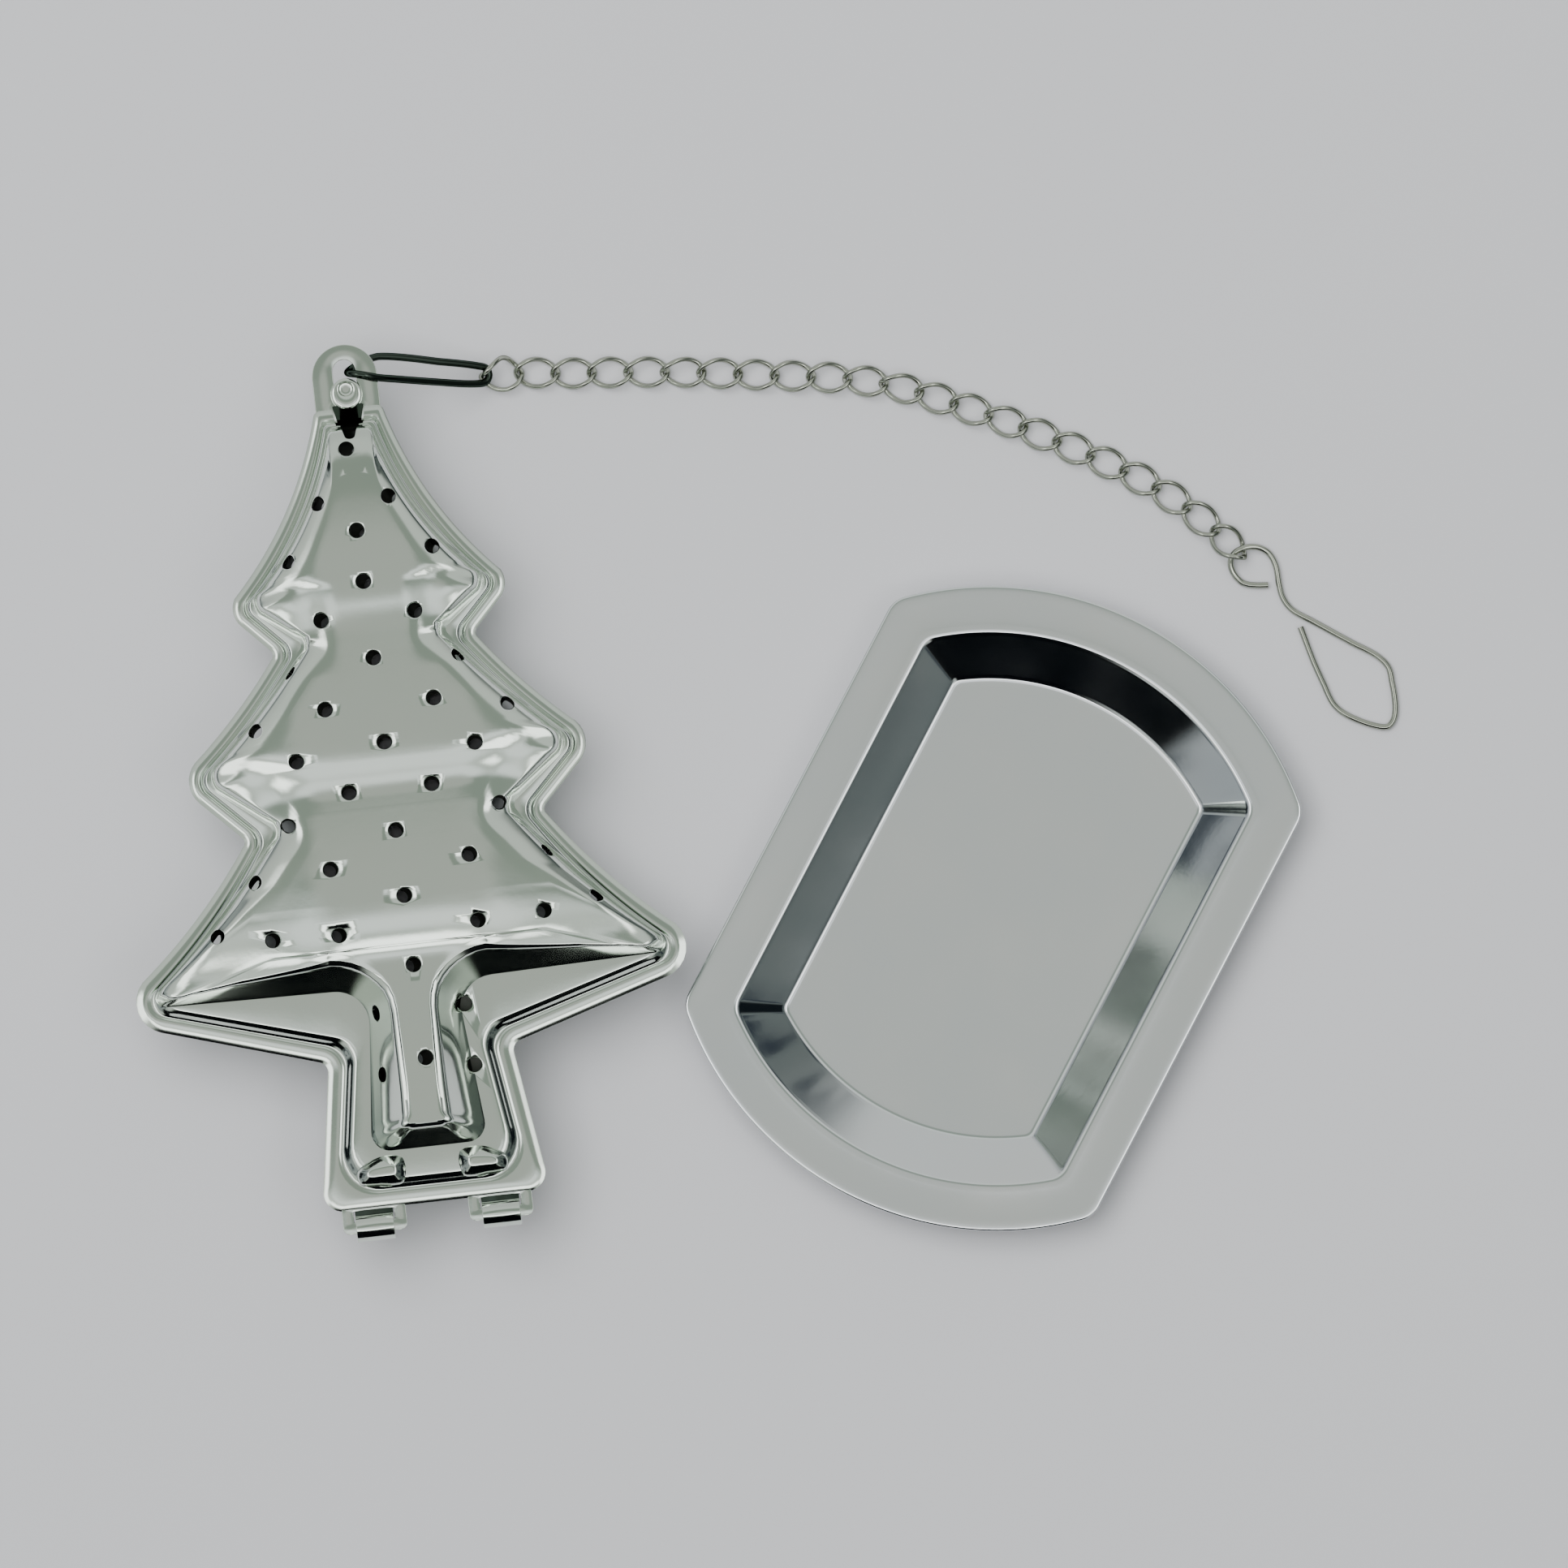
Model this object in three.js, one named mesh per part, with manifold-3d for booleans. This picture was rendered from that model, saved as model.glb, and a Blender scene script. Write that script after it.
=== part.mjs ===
// A fir-tree tea infuser in two perforated stainless shells, on a curb chain with a wire hook,
// lying beside its drip tray. Millimetres, +Z up, origin at the middle of the tray's underside.
import * as THREE from 'three';
import { mergeVertices } from 'three/addons/utils/BufferGeometryUtils.js';
import Module from 'manifold-3d';

const wasm = await Module();
wasm.setup();

// Clearances shared by all pieces
const SEAM_GAP = 0.3;
const SIDE_GAP = 0.15;
const WIRE_GAP = 0.15;
const CUT_OVERRUN = 1;

// Tree shells
const TREE_HALF_WIDTH = 31;
const TREE_LENGTH = 81.8;
const SHELL_DEPTH = 8.85;
const SHELL_SHEET = 0.45;
const FLANGE_WIDTH = 1.5;
const STEP_RUN = 1;
const STEP_RISE = 0.9;
const TREE_TURN_DEG = 6.4;
const TREE_APEX_LEFT_OF_TRAY = 66.2;
const TREE_APEX_BEHIND_TRAY = 51.2;

// Rounding of the outline's corners
const NECK_RADIUS = 0.8;
const TOP_TIP_RADIUS = 2.4;
const LOW_TIP_RADIUS = 3;
const NOTCH_RADIUS = 0.7;
const WAIST_RADIUS = 1;
const TRUNK_CORNER_RADIUS = 2;
const TOP_FLANK_BOW = 1.3;
const MIDDLE_FLANK_BOW = 0.35;
const SKIRT_FLANK_BOW = 0.6;
const LEAST_RADIUS = 0.2;

// Rounding of the dome's foot and of its flat crown
const DOME_TIP_RADIUS = 1.7;
const DOME_NOTCH_RADIUS = 1.5;
const DOME_APEX_RADIUS = 0.5;
const DOME_TRUNK_RADIUS = 2.2;

// Perforations
const HOLE_DIAMETER = 1.5;
const HOLE_SIDES = 8;
const HOLE_SKEW_SHARE = 0.0185;

// Disc tab of the lower shell, and the tongue and lanced opening of the upper one
const DISC_RADIUS = 3.35;
const DISC_REACH = 3.2;
const OPENING_HALF_WIDTH = 1.17;
const OPENING_PAST_CENTRE = 1.8;
const OPENING_LOW_REACH = 0.45;
const TONGUE_HALF_WIDTH = 1.5;
const TONGUE_REACH = 3.1;
const TONGUE_BRIDGE = 0.45;
const DIMPLE_RADIUS = 0.78;
const DIMPLE_REACH = 2.15;
const DIMPLE_DEPTH = 0.45;
const LANCE_HALF_WIDTH = 1.65;
const LANCE_TIP_RADIUS = 0.6;
const LANCE_LENGTH = 3.2;

// Trunk hinge: two slotted tabs on the upper shell, two curled tongues on the lower one
const HINGE_OFFSET = 6.5;
const TAB_WIDTH = 6.6;
const TAB_CORNER_RADIUS = 0.7;
const CURL_WIDTH = 3.9;
const CURL_OUTER_RADIUS = 1.45;
const BAR_WIDTH = 1.2;
const BAR_THICKNESS = SHELL_SHEET;
const HINGE_REACH = 1.85;
const CURL_END_DEG = 150;
const CURL_STEPS = 12;

// Wire bail through the disc
const BAIL_WIRE = 0.78;
const BAIL_REACH = 14.7;
const BAIL_TIP_DROP = 0.48;
const BAIL_TIP_SPREAD = 1.8;
const BAIL_EYE_PLAY = 0.19;
const BAIL_SIDES = 6;
const BAIL_STEPS = 46;

// Curb chain
const LINK_COUNT = 22;
const LINK_LENGTH = 4.85;
const LINK_WIDTH = 3.3;
const FIRST_LINK_WIDTH = 3.8;
const LINK_WIRE = 0.46;
const LINK_PLAY = 0.17;
const LINK_LEAN_DEG = 43;
const END_LINK_LEAN_DEG = 72;
const LINK_SIDES = 5;
const LINK_STEPS = 18;
const FIRST_LINK_DIP_DEG = -20;

// Wire hook at the chain's end
const HOOK_WIRE = 0.7;
const HOOK_SPAN = 18;
const HOOK_SIDES = 6;
const HOOK_STEPS = 76;

// Drip tray
const TRAY_HALF_WIDTH = 23.8;
const TRAY_HALF_LENGTH = 33.1;
const TRAY_END_RADIUS = 34;
const TRAY_CORNER_RADIUS = 2.7;
const TRAY_RIM_WIDTH = 4.9;
const TRAY_WALL_RUN = 4.7;
const TRAY_DEPTH = 4.4;
const TRAY_SHEET = 0.5;
const TRAY_TURN_DEG = -27.5;
const TRAY_FLOOR_CORNER_RADIUS = 1.2;
const TRAY_RIM_CORNER_RADIUS = 2.2;

// Outline of each shell: share of the half width, share of the length, corner radius, and how far
// the edge that follows bows inward. The left half mirrors the right.
const outlineShares = [
  [0.108, 0, NECK_RADIUS, TOP_FLANK_BOW],
  [0.471, 0.241, TOP_TIP_RADIUS, 0],
  [0.329, 0.297, NOTCH_RADIUS, MIDDLE_FLANK_BOW],
  [0.697, 0.447, LOW_TIP_RADIUS, 0],
  [0.49, 0.526, NOTCH_RADIUS, SKIRT_FLANK_BOW],
  [1, 0.7335, LOW_TIP_RADIUS, 0],
  [0.305, 0.814, WAIST_RADIUS, 0],
  [0.379, 1, TRUNK_CORNER_RADIUS, 0],
];

// Foot of the dome, which stands further back under each tier than the outline does
const footShares = [
  [0.033, 0.056, DOME_APEX_RADIUS, 0],
  [0.31, 0.24, DOME_TIP_RADIUS, 0],
  [0.213, 0.293, DOME_NOTCH_RADIUS, 0],
  [0.526, 0.447, DOME_TIP_RADIUS, 0],
  [0.361, 0.523, DOME_NOTCH_RADIUS, 0],
  [0.79, 0.72, DOME_TIP_RADIUS, 0],
  [0.16, 0.724, DOME_TRUNK_RADIUS, 0],
  [0.18, 0.927, DOME_TRUNK_RADIUS, 0],
];

// Flat crown of the dome
const crownShares = [
  [0.016, 0.11, DOME_APEX_RADIUS, 0],
  [0.175, 0.228, DOME_TIP_RADIUS, 0],
  [0.135, 0.3, DOME_NOTCH_RADIUS, 0],
  [0.37, 0.432, DOME_TIP_RADIUS, 0],
  [0.26, 0.526, DOME_NOTCH_RADIUS, 0],
  [0.61, 0.68, DOME_TIP_RADIUS, 0],
  [0.085, 0.697, DOME_TRUNK_RADIUS, 0],
  [0.06, 0.9, DOME_APEX_RADIUS, 0],
];

// How far in and how high the rings of the dome's wall lie between foot and crown
const wallShares = [
  [0.12, 0.42],
  [0.36, 0.76],
  [0.68, 0.95],
];

// Perforations: a column of single holes, and pairs across it
const columnShares = [0.0535, 0.157, 0.221, 0.317, 0.423, 0.534, 0.616, 0.703, 0.82];
const pairShares = [
  [0.119, 0.118],
  [0.241, 0.186],
  [0.156, 0.264],
  [0.28, 0.324],
  [0.18, 0.375],
  [0.42, 0.391],
  [0.296, 0.436],
  [0.137, 0.481],
  [0.351, 0.514],
  [0.23, 0.574],
  [0.486, 0.579],
  [0.23, 0.657],
  [0.45, 0.654],
  [0.631, 0.641],
  [0.147, 0.758],
  [0.153, 0.835],
];

// Heading of each link on the table, and its roll about the chain, from the bail to the hook
const linkHeadingsDeg = [
  6, -2, 1, 1, 0, -1, -2, -2, -2, -3, -8, -14, -18, -18, -20, -22, -23, -24, -28, -33, -39, -43,
];
const linkRollsDeg = [0, 0, 0, 0, 8, 18, 8, 0, 0, 0, 10, 22, 10, 2, 14, 2, 0, 0, 0, 0, 0, 0];

// Route of the hook's wire from its eye round the open loop: shares of the span right of the chain's
// end and behind it, and share of the wire's thickness that it is lifted
const hookShares = [
  [0.163, -0.182, 0.1],
  [0.086, -0.183, 0.1],
  [0.017, -0.169, 0.1],
  [-0.038, -0.109, 0.4],
  [-0.052, -0.054, 0.75],
  [-0.034, -0.004, 1.1],
  [0.016, 0.027, 1.1],
  [0.096, 0.035, 0.65],
  [0.165, 0.002, 0.3],
  [0.207, -0.072, 0.15],
  [0.221, -0.151, 0.1],
  [0.239, -0.234, 0.1],
  [0.272, -0.294, 0.1],
  [0.318, -0.336, 0.1],
  [0.406, -0.382, 0.1],
  [0.54, -0.456, 0.1],
  [0.67, -0.526, 0.1],
  [0.785, -0.586, 0.1],
  [0.85, -0.651, 0.1],
  [0.869, -0.729, 0.1],
  [0.888, -0.845, 0.1],
  [0.884, -0.937, 0.1],
  [0.85, -0.989, 0.1],
  [0.785, -0.988, 0.1],
  [0.67, -0.951, 0.1],
  [0.582, -0.905, 0.1],
  [0.531, -0.854, 0.1],
  [0.485, -0.757, 0.1],
  [0.424, -0.623, 0.1],
  [0.369, -0.479, 0.1],
  [0.347, -0.422, 0.1],
];

// Finishes
const steel = (name, color, roughness) => {
  const material = new THREE.MeshStandardMaterial({ color, roughness, metalness: 1 });
  material.name = name;
  return material;
};
const shellSteel = steel('polished stainless sheet', 0xc9cdc9, 0.12);
const traySteel = steel('polished stainless tray', 0xbcc4c6, 0.15);
const wireSteel = steel('drawn stainless wire', 0xc4c6c0, 0.18);

// Solids in and out of the boolean library
function toSolid(geometry) {
  const bare = geometry.index ? geometry.toNonIndexed() : geometry.clone();
  bare.deleteAttribute('normal');
  bare.deleteAttribute('uv');
  const merged = mergeVertices(bare, 1e-5);
  const vertProperties = new Float32Array(merged.attributes.position.array);
  const triVerts = new Uint32Array(merged.index.array);
  return new wasm.Manifold(new wasm.Mesh({ numProp: 3, vertProperties, triVerts }));
}

function toGeometry(solid) {
  const mesh = solid.getMesh();
  const geometry = new THREE.BufferGeometry();
  geometry.setAttribute('position', new THREE.BufferAttribute(new Float32Array(mesh.vertProperties), 3));
  geometry.setIndex(new THREE.BufferAttribute(new Uint32Array(mesh.triVerts), 1));
  geometry.computeVertexNormals();
  return geometry;
}

const mirrorZ = (geometry, height) => {
  const turned = geometry.clone();
  turned.rotateY(Math.PI);
  turned.translate(0, 0, height);
  return turned;
};

// Corner table to corner points, right half and then left, going round clockwise from the apex
function cornersFrom(shares) {
  const right = shares.map(([across, down, radius, bow]) => ({
    x: across * TREE_HALF_WIDTH,
    y: -down * TREE_LENGTH,
    radius,
    bow,
  }));
  const left = right.map((corner, i) => ({
    x: -corner.x,
    y: corner.y,
    radius: corner.radius,
    bow: i > 0 ? right[i - 1].bow : 0,
  }));
  return [...right, ...left.reverse()];
}

// Moves every edge inward by the same distance
function insetCorners(corners, distance) {
  const count = corners.length;
  return corners.map((corner, i) => {
    const before = corners[(i + count - 1) % count];
    const after = corners[(i + 1) % count];
    const inDir = new THREE.Vector2(corner.x - before.x, corner.y - before.y).normalize();
    const outDir = new THREE.Vector2(after.x - corner.x, after.y - corner.y).normalize();
    const inNormal = new THREE.Vector2(inDir.y, -inDir.x);
    const outNormal = new THREE.Vector2(outDir.y, -outDir.x);
    const scale = distance / (1 + inNormal.dot(outNormal));
    const turnsRight = inDir.cross(outDir) < 0;
    return {
      x: corner.x + (inNormal.x + outNormal.x) * scale,
      y: corner.y + (inNormal.y + outNormal.y) * scale,
      radius: Math.max(corner.radius + (turnsRight ? -distance : distance), LEAST_RADIUS),
      bow: corner.bow,
    };
  });
}

const CORNER_STEPS = 2;
const EDGE_STEPS = 3;

// Rounded corners joined by edges that may bow, the two edges across the middle without points of
// their own. A table always gives the same number of points, the second half mirroring the first.
function ringFrom(corners) {
  const count = corners.length;
  const arcs = corners.map((corner, i) => {
    const before = corners[(i + count - 1) % count];
    const after = corners[(i + 1) % count];
    const here = new THREE.Vector2(corner.x, corner.y);
    const back = new THREE.Vector2(before.x, before.y).sub(here);
    const ahead = new THREE.Vector2(after.x, after.y).sub(here);
    const room = 0.45 * Math.min(back.length(), ahead.length());
    back.normalize();
    ahead.normalize();
    const halfAngle = Math.acos(THREE.MathUtils.clamp(back.dot(ahead), -1, 1)) / 2;
    const cut = Math.min(corner.radius / Math.tan(halfAngle), room);
    const start = here.clone().addScaledVector(back, cut);
    const end = here.clone().addScaledVector(ahead, cut);
    const radius = cut * Math.tan(halfAngle);
    const middle = back.clone().add(ahead).normalize();
    const centre = here.clone().addScaledVector(middle, radius / Math.sin(halfAngle));
    const from = start.clone().sub(centre);
    const turn = from.angleTo(end.clone().sub(centre)) * Math.sign(from.cross(end.clone().sub(centre)));
    const points = [];
    for (let k = 0; k <= CORNER_STEPS; k += 1) {
      points.push(from.clone().rotateAround(new THREE.Vector2(), (turn * k) / CORNER_STEPS).add(centre));
    }
    return points;
  });
  const ring = [];
  arcs.forEach((points, i) => {
    ring.push(...points);
    if ((i + 1) % (count / 2) === 0) {
      return;
    }
    const start = points[points.length - 1];
    const end = arcs[(i + 1) % count][0];
    const along = end.clone().sub(start);
    const inward = new THREE.Vector2(along.y, -along.x).normalize();
    for (let k = 1; k < EDGE_STEPS; k += 1) {
      const t = k / EDGE_STEPS;
      const bow = corners[i].bow * 4 * t * (1 - t);
      ring.push(start.clone().addScaledVector(along, t).addScaledVector(inward, bow));
    }
  });
  return ring;
}

const blendRings = (a, b, t) => a.map((point, i) => point.clone().lerp(b[i], t));

// A sheet pressed through a stack of rings, which run clockwise seen from above and each have a
// height. The last ring is closed by a flat cap of strips between its two halves, and the back of
// the sheet lies one thickness behind the front.
function pressedSheet(rings, heights, thickness) {
  const count = rings[0].length;
  const front = [];
  rings.forEach((ring, j) => ring.forEach((p) => front.push(new THREE.Vector3(p.x, p.y, heights[j]))));
  const faces = [];
  for (let j = 0; j + 1 < rings.length; j += 1) {
    for (let i = 0; i < count; i += 1) {
      const a = j * count + i;
      const b = j * count + ((i + 1) % count);
      faces.push([a, a + count, b], [b, a + count, b + count]);
    }
  }
  const last = (rings.length - 1) * count;
  for (let i = 0; i + 1 < count / 2; i += 1) {
    const j = last + count - 1 - i;
    faces.push([last + i, j, last + i + 1], [last + i + 1, j, j - 1]);
  }
  const normals = front.map(() => new THREE.Vector3());
  const side = new THREE.Vector3();
  const other = new THREE.Vector3();
  faces.forEach((face) => {
    const [a, b, c] = face.map((k) => front[k]);
    side.subVectors(b, a).cross(other.subVectors(c, a));
    face.forEach((k) => normals[k].add(side));
  });
  const back = front.map((point, k) => {
    const outward = normals[k].normalize();
    if (k < count || k >= last) {
      outward.set(0, 0, 1);
    }
    return point.clone().addScaledVector(outward, -thickness);
  });
  const points = [...front, ...back];
  const offset = front.length;
  const triangles = [...faces];
  faces.forEach(([a, b, c]) => triangles.push([offset + a, offset + c, offset + b]));
  for (let i = 0; i < count; i += 1) {
    const j = (i + 1) % count;
    triangles.push([i, j, offset + i], [j, offset + j, offset + i]);
  }
  const geometry = new THREE.BufferGeometry();
  const numbers = points.flatMap((p) => [p.x, p.y, p.z]);
  geometry.setAttribute('position', new THREE.Float32BufferAttribute(numbers, 3));
  geometry.setIndex(triangles.flat());
  return geometry;
}

// A flat plate of a given outline between two heights
function plate(shape, low, high, curveSegments = 8) {
  const depth = high - low;
  const geometry = new THREE.ExtrudeGeometry(shape, { depth, bevelEnabled: false, curveSegments });
  geometry.translate(0, 0, low);
  return geometry;
}

function roundedBox(left, right, low, high, radius) {
  const shape = new THREE.Shape();
  shape.moveTo(left + radius, low);
  shape.lineTo(right - radius, low);
  shape.absarc(right - radius, low + radius, radius, -Math.PI / 2, 0);
  shape.lineTo(right, high - radius);
  shape.absarc(right - radius, high - radius, radius, 0, Math.PI / 2);
  shape.lineTo(left + radius, high);
  shape.absarc(left + radius, high - radius, radius, Math.PI / 2, Math.PI);
  shape.lineTo(left, low + radius);
  shape.absarc(left + radius, low + radius, radius, Math.PI, 1.5 * Math.PI);
  return shape;
}

// Heights of the seam: the two flanges lie either side of it
const SEAM_HEIGHT = SHELL_DEPTH + SEAM_GAP / 2;
const HINGE_LINE = -(TREE_LENGTH + HINGE_REACH);

// One perforated shell, dome up, with the back of its flange at height zero
function shellSolid() {
  const outline = cornersFrom(outlineShares);
  const rings = [
    ringFrom(outline),
    ringFrom(insetCorners(outline, FLANGE_WIDTH)),
    ringFrom(insetCorners(outline, FLANGE_WIDTH + STEP_RUN)),
  ];
  const foot = ringFrom(cornersFrom(footShares));
  const crown = ringFrom(cornersFrom(crownShares));
  const ledge = SHELL_SHEET + STEP_RISE;
  const rise = SHELL_DEPTH - ledge;
  const heights = [SHELL_SHEET, SHELL_SHEET, ledge, ledge];
  rings.push(foot);
  wallShares.forEach(([inward, upward]) => {
    rings.push(blendRings(foot, crown, inward));
    heights.push(ledge + rise * upward);
  });
  rings.push(crown);
  heights.push(SHELL_DEPTH);
  let solid = toSolid(pressedSheet(rings, heights, SHELL_SHEET));
  holePlaces().forEach(([x, y]) => {
    solid = solid.subtract(toSolid(drill(x, y)));
  });
  return solid;
}

function holePlaces() {
  const skewed = (across, down) => {
    const middle = (down - 0.39) * TREE_LENGTH * HOLE_SKEW_SHARE;
    return [across * TREE_HALF_WIDTH + middle, -down * TREE_LENGTH];
  };
  const column = columnShares.map((down) => skewed(0, down));
  const pairs = pairShares.flatMap(([across, down]) => [skewed(-across, down), skewed(across, down)]);
  return [...column, ...pairs];
}

function drill(x, y) {
  const length = SHELL_DEPTH + 2 * CUT_OVERRUN;
  const geometry = new THREE.CylinderGeometry(HOLE_DIAMETER / 2, HOLE_DIAMETER / 2, length, HOLE_SIDES);
  geometry.rotateX(Math.PI / 2);
  geometry.translate(x, y, SHELL_DEPTH / 2);
  return geometry;
}

// The upper shell: latch tongue over the disc, lanced opening behind it, and two slotted hinge tabs
function upperShell() {
  let solid = shellSolid();
  const tongue = new THREE.Shape();
  tongue.moveTo(-DISC_RADIUS, -FLANGE_WIDTH);
  tongue.lineTo(DISC_RADIUS, -FLANGE_WIDTH);
  tongue.lineTo(DISC_RADIUS, TONGUE_BRIDGE);
  tongue.lineTo(TONGUE_HALF_WIDTH, TONGUE_BRIDGE);
  tongue.absarc(0, TONGUE_REACH - TONGUE_HALF_WIDTH, TONGUE_HALF_WIDTH, 0, Math.PI);
  tongue.lineTo(-TONGUE_HALF_WIDTH, TONGUE_BRIDGE);
  tongue.lineTo(-DISC_RADIUS, TONGUE_BRIDGE);
  solid = solid.add(toSolid(plate(tongue, 0, SHELL_SHEET)));
  const dimpleHeight = DIMPLE_DEPTH + SHELL_SHEET;
  const dimple = new THREE.CylinderGeometry(DIMPLE_RADIUS, DIMPLE_RADIUS, dimpleHeight, HOLE_SIDES);
  dimple.rotateX(Math.PI / 2);
  dimple.translate(0, DIMPLE_REACH, (SHELL_SHEET - DIMPLE_DEPTH) / 2);
  solid = solid.add(toSolid(dimple));
  const lance = new THREE.Shape();
  lance.moveTo(-LANCE_HALF_WIDTH, 0);
  lance.lineTo(-LANCE_TIP_RADIUS, LANCE_TIP_RADIUS - LANCE_LENGTH);
  lance.absarc(0, LANCE_TIP_RADIUS - LANCE_LENGTH, LANCE_TIP_RADIUS, Math.PI, 2 * Math.PI);
  lance.lineTo(LANCE_HALF_WIDTH, 0);
  solid = solid.subtract(toSolid(plate(lance, -CUT_OVERRUN, SHELL_DEPTH + CUT_OVERRUN, 6)));
  [-HINGE_OFFSET, HINGE_OFFSET].forEach((middle) => {
    const half = TAB_WIDTH / 2;
    const end = HINGE_LINE - BAR_WIDTH / 2;
    const root = -TREE_LENGTH + FLANGE_WIDTH / 2;
    const tab = roundedBox(middle - half, middle + half, end, root, TAB_CORNER_RADIUS);
    solid = solid.add(toSolid(plate(tab, 0, SHELL_SHEET, 3)));
  });
  [-HINGE_OFFSET, HINGE_OFFSET].forEach((middle) => {
    const half = CURL_WIDTH / 2 + SIDE_GAP;
    const slot = new THREE.Shape();
    const near = HINGE_LINE + CURL_OUTER_RADIUS + SEAM_GAP;
    const far = HINGE_LINE + BAR_WIDTH / 2;
    slot.moveTo(middle - half, far);
    slot.lineTo(middle + half, far);
    slot.lineTo(middle + half, near);
    slot.lineTo(middle - half, near);
    solid = solid.subtract(toSolid(plate(slot, -CUT_OVERRUN, SHELL_DEPTH)));
  });
  const geometry = toGeometry(solid);
  geometry.translate(0, 0, SEAM_HEIGHT + SEAM_GAP / 2);
  return geometry;
}

// Section of a curled tongue: straight under the slotted tab, then round and back over its outer bar
function curlSection() {
  const inner = CURL_OUTER_RADIUS - SHELL_SHEET;
  const sheetTop = -BAR_THICKNESS / 2 - SEAM_GAP;
  const sheetLow = sheetTop - SHELL_SHEET;
  const innerStart = Math.PI + Math.asin(-sheetTop / inner);
  const outerStart = Math.PI + Math.asin(-sheetLow / CURL_OUTER_RADIUS);
  const finish = 2 * Math.PI + THREE.MathUtils.degToRad(CURL_END_DEG);
  const points = [new THREE.Vector2(-HINGE_REACH - FLANGE_WIDTH, sheetLow)];
  for (let k = 0; k <= CURL_STEPS; k += 1) {
    const angle = THREE.MathUtils.lerp(outerStart, finish, k / CURL_STEPS);
    points.push(new THREE.Vector2(Math.cos(angle), Math.sin(angle)).multiplyScalar(CURL_OUTER_RADIUS));
  }
  for (let k = CURL_STEPS; k >= 0; k -= 1) {
    const angle = THREE.MathUtils.lerp(innerStart, finish, k / CURL_STEPS);
    points.push(new THREE.Vector2(Math.cos(angle), Math.sin(angle)).multiplyScalar(inner));
  }
  points.push(new THREE.Vector2(-HINGE_REACH - FLANGE_WIDTH, sheetTop));
  return new THREE.Shape(points);
}

// The lower shell: disc tab with its opening, and two curled hinge tongues
function lowerShell() {
  let solid = shellSolid();
  const disc = new THREE.Shape();
  disc.moveTo(-DISC_RADIUS, -FLANGE_WIDTH);
  disc.lineTo(DISC_RADIUS, -FLANGE_WIDTH);
  disc.absarc(0, DISC_REACH, DISC_RADIUS, 0, Math.PI);
  solid = solid.add(toSolid(plate(disc, 0, SHELL_SHEET, 16)));
  const half = OPENING_HALF_WIDTH;
  const opening = roundedBox(-half, half, OPENING_LOW_REACH, DISC_REACH + OPENING_PAST_CENTRE, half);
  solid = solid.subtract(toSolid(plate(opening, -CUT_OVERRUN, SHELL_SHEET + CUT_OVERRUN, 6)));
  const geometry = mirrorZ(toGeometry(solid), SEAM_HEIGHT - SEAM_GAP / 2);
  let lower = toSolid(geometry);
  [-HINGE_OFFSET, HINGE_OFFSET].forEach((middle) => {
    const curl = new THREE.ExtrudeGeometry(curlSection(), { depth: CURL_WIDTH, bevelEnabled: false });
    curl.translate(0, 0, -CURL_WIDTH / 2);
    curl.rotateX(Math.PI / 2);
    curl.rotateZ(-Math.PI / 2);
    curl.translate(middle, HINGE_LINE, SEAM_HEIGHT + SEAM_GAP / 2 + BAR_THICKNESS / 2);
    lower = lower.add(toSolid(curl));
  });
  return toGeometry(lower);
}

// The bail and the chain are placed from the middle of the tree's disc
const treeTurn = THREE.MathUtils.degToRad(TREE_TURN_DEG);
const treeApex = new THREE.Vector3(-TREE_APEX_LEFT_OF_TRAY, TREE_APEX_BEHIND_TRAY, 0);
const upright = new THREE.Vector3(0, 0, 1);
const discCentre = new THREE.Vector3(0, DISC_REACH, 0).applyAxisAngle(upright, treeTurn).add(treeApex);

// The bail turns about the rim of the disc, right of the opening
const discTop = SEAM_HEIGHT - SEAM_GAP / 2;
const bailAxis = new THREE.Vector3((OPENING_HALF_WIDTH + DISC_RADIUS) / 2, 0, discTop - SHELL_SHEET / 2);
const rimHalfWidth = (DISC_RADIUS - OPENING_HALF_WIDTH) / 2;

// A link's wire leans about the chain, one way at its start and the other way at its end
const linkHalfLength = (LINK_LENGTH - LINK_WIRE) / 2;
const linkHalfPitch = linkHalfLength - (LINK_WIRE + LINK_PLAY) / 2;
const bailOverlap = (LINK_WIRE + BAIL_WIRE) / 2 + LINK_PLAY;
const firstDip = THREE.MathUtils.degToRad(FIRST_LINK_DIP_DEG);

class LinkCurve extends THREE.Curve {
  constructor(index) {
    super();
    const width = index === 0 ? FIRST_LINK_WIDTH : LINK_WIDTH;
    const startLean = index === 0 ? END_LINK_LEAN_DEG : LINK_LEAN_DEG;
    const endLean = index === LINK_COUNT - 1 ? END_LINK_LEAN_DEG : LINK_LEAN_DEG;
    this.halfWidth = (width - LINK_WIRE) / 2;
    this.middleLean = THREE.MathUtils.degToRad(linkRollsDeg[index] + (startLean - endLean) / 2);
    this.twist = THREE.MathUtils.degToRad((startLean + endLean) / 2);
  }

  getPoint(t, target = new THREE.Vector3()) {
    const angle = 2 * Math.PI * t;
    const lean = this.middleLean - this.twist * Math.cos(angle);
    const side = this.halfWidth * Math.sin(angle);
    return target.set(linkHalfLength * Math.cos(angle), side * Math.cos(lean), side * Math.sin(lean));
  }
}

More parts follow.
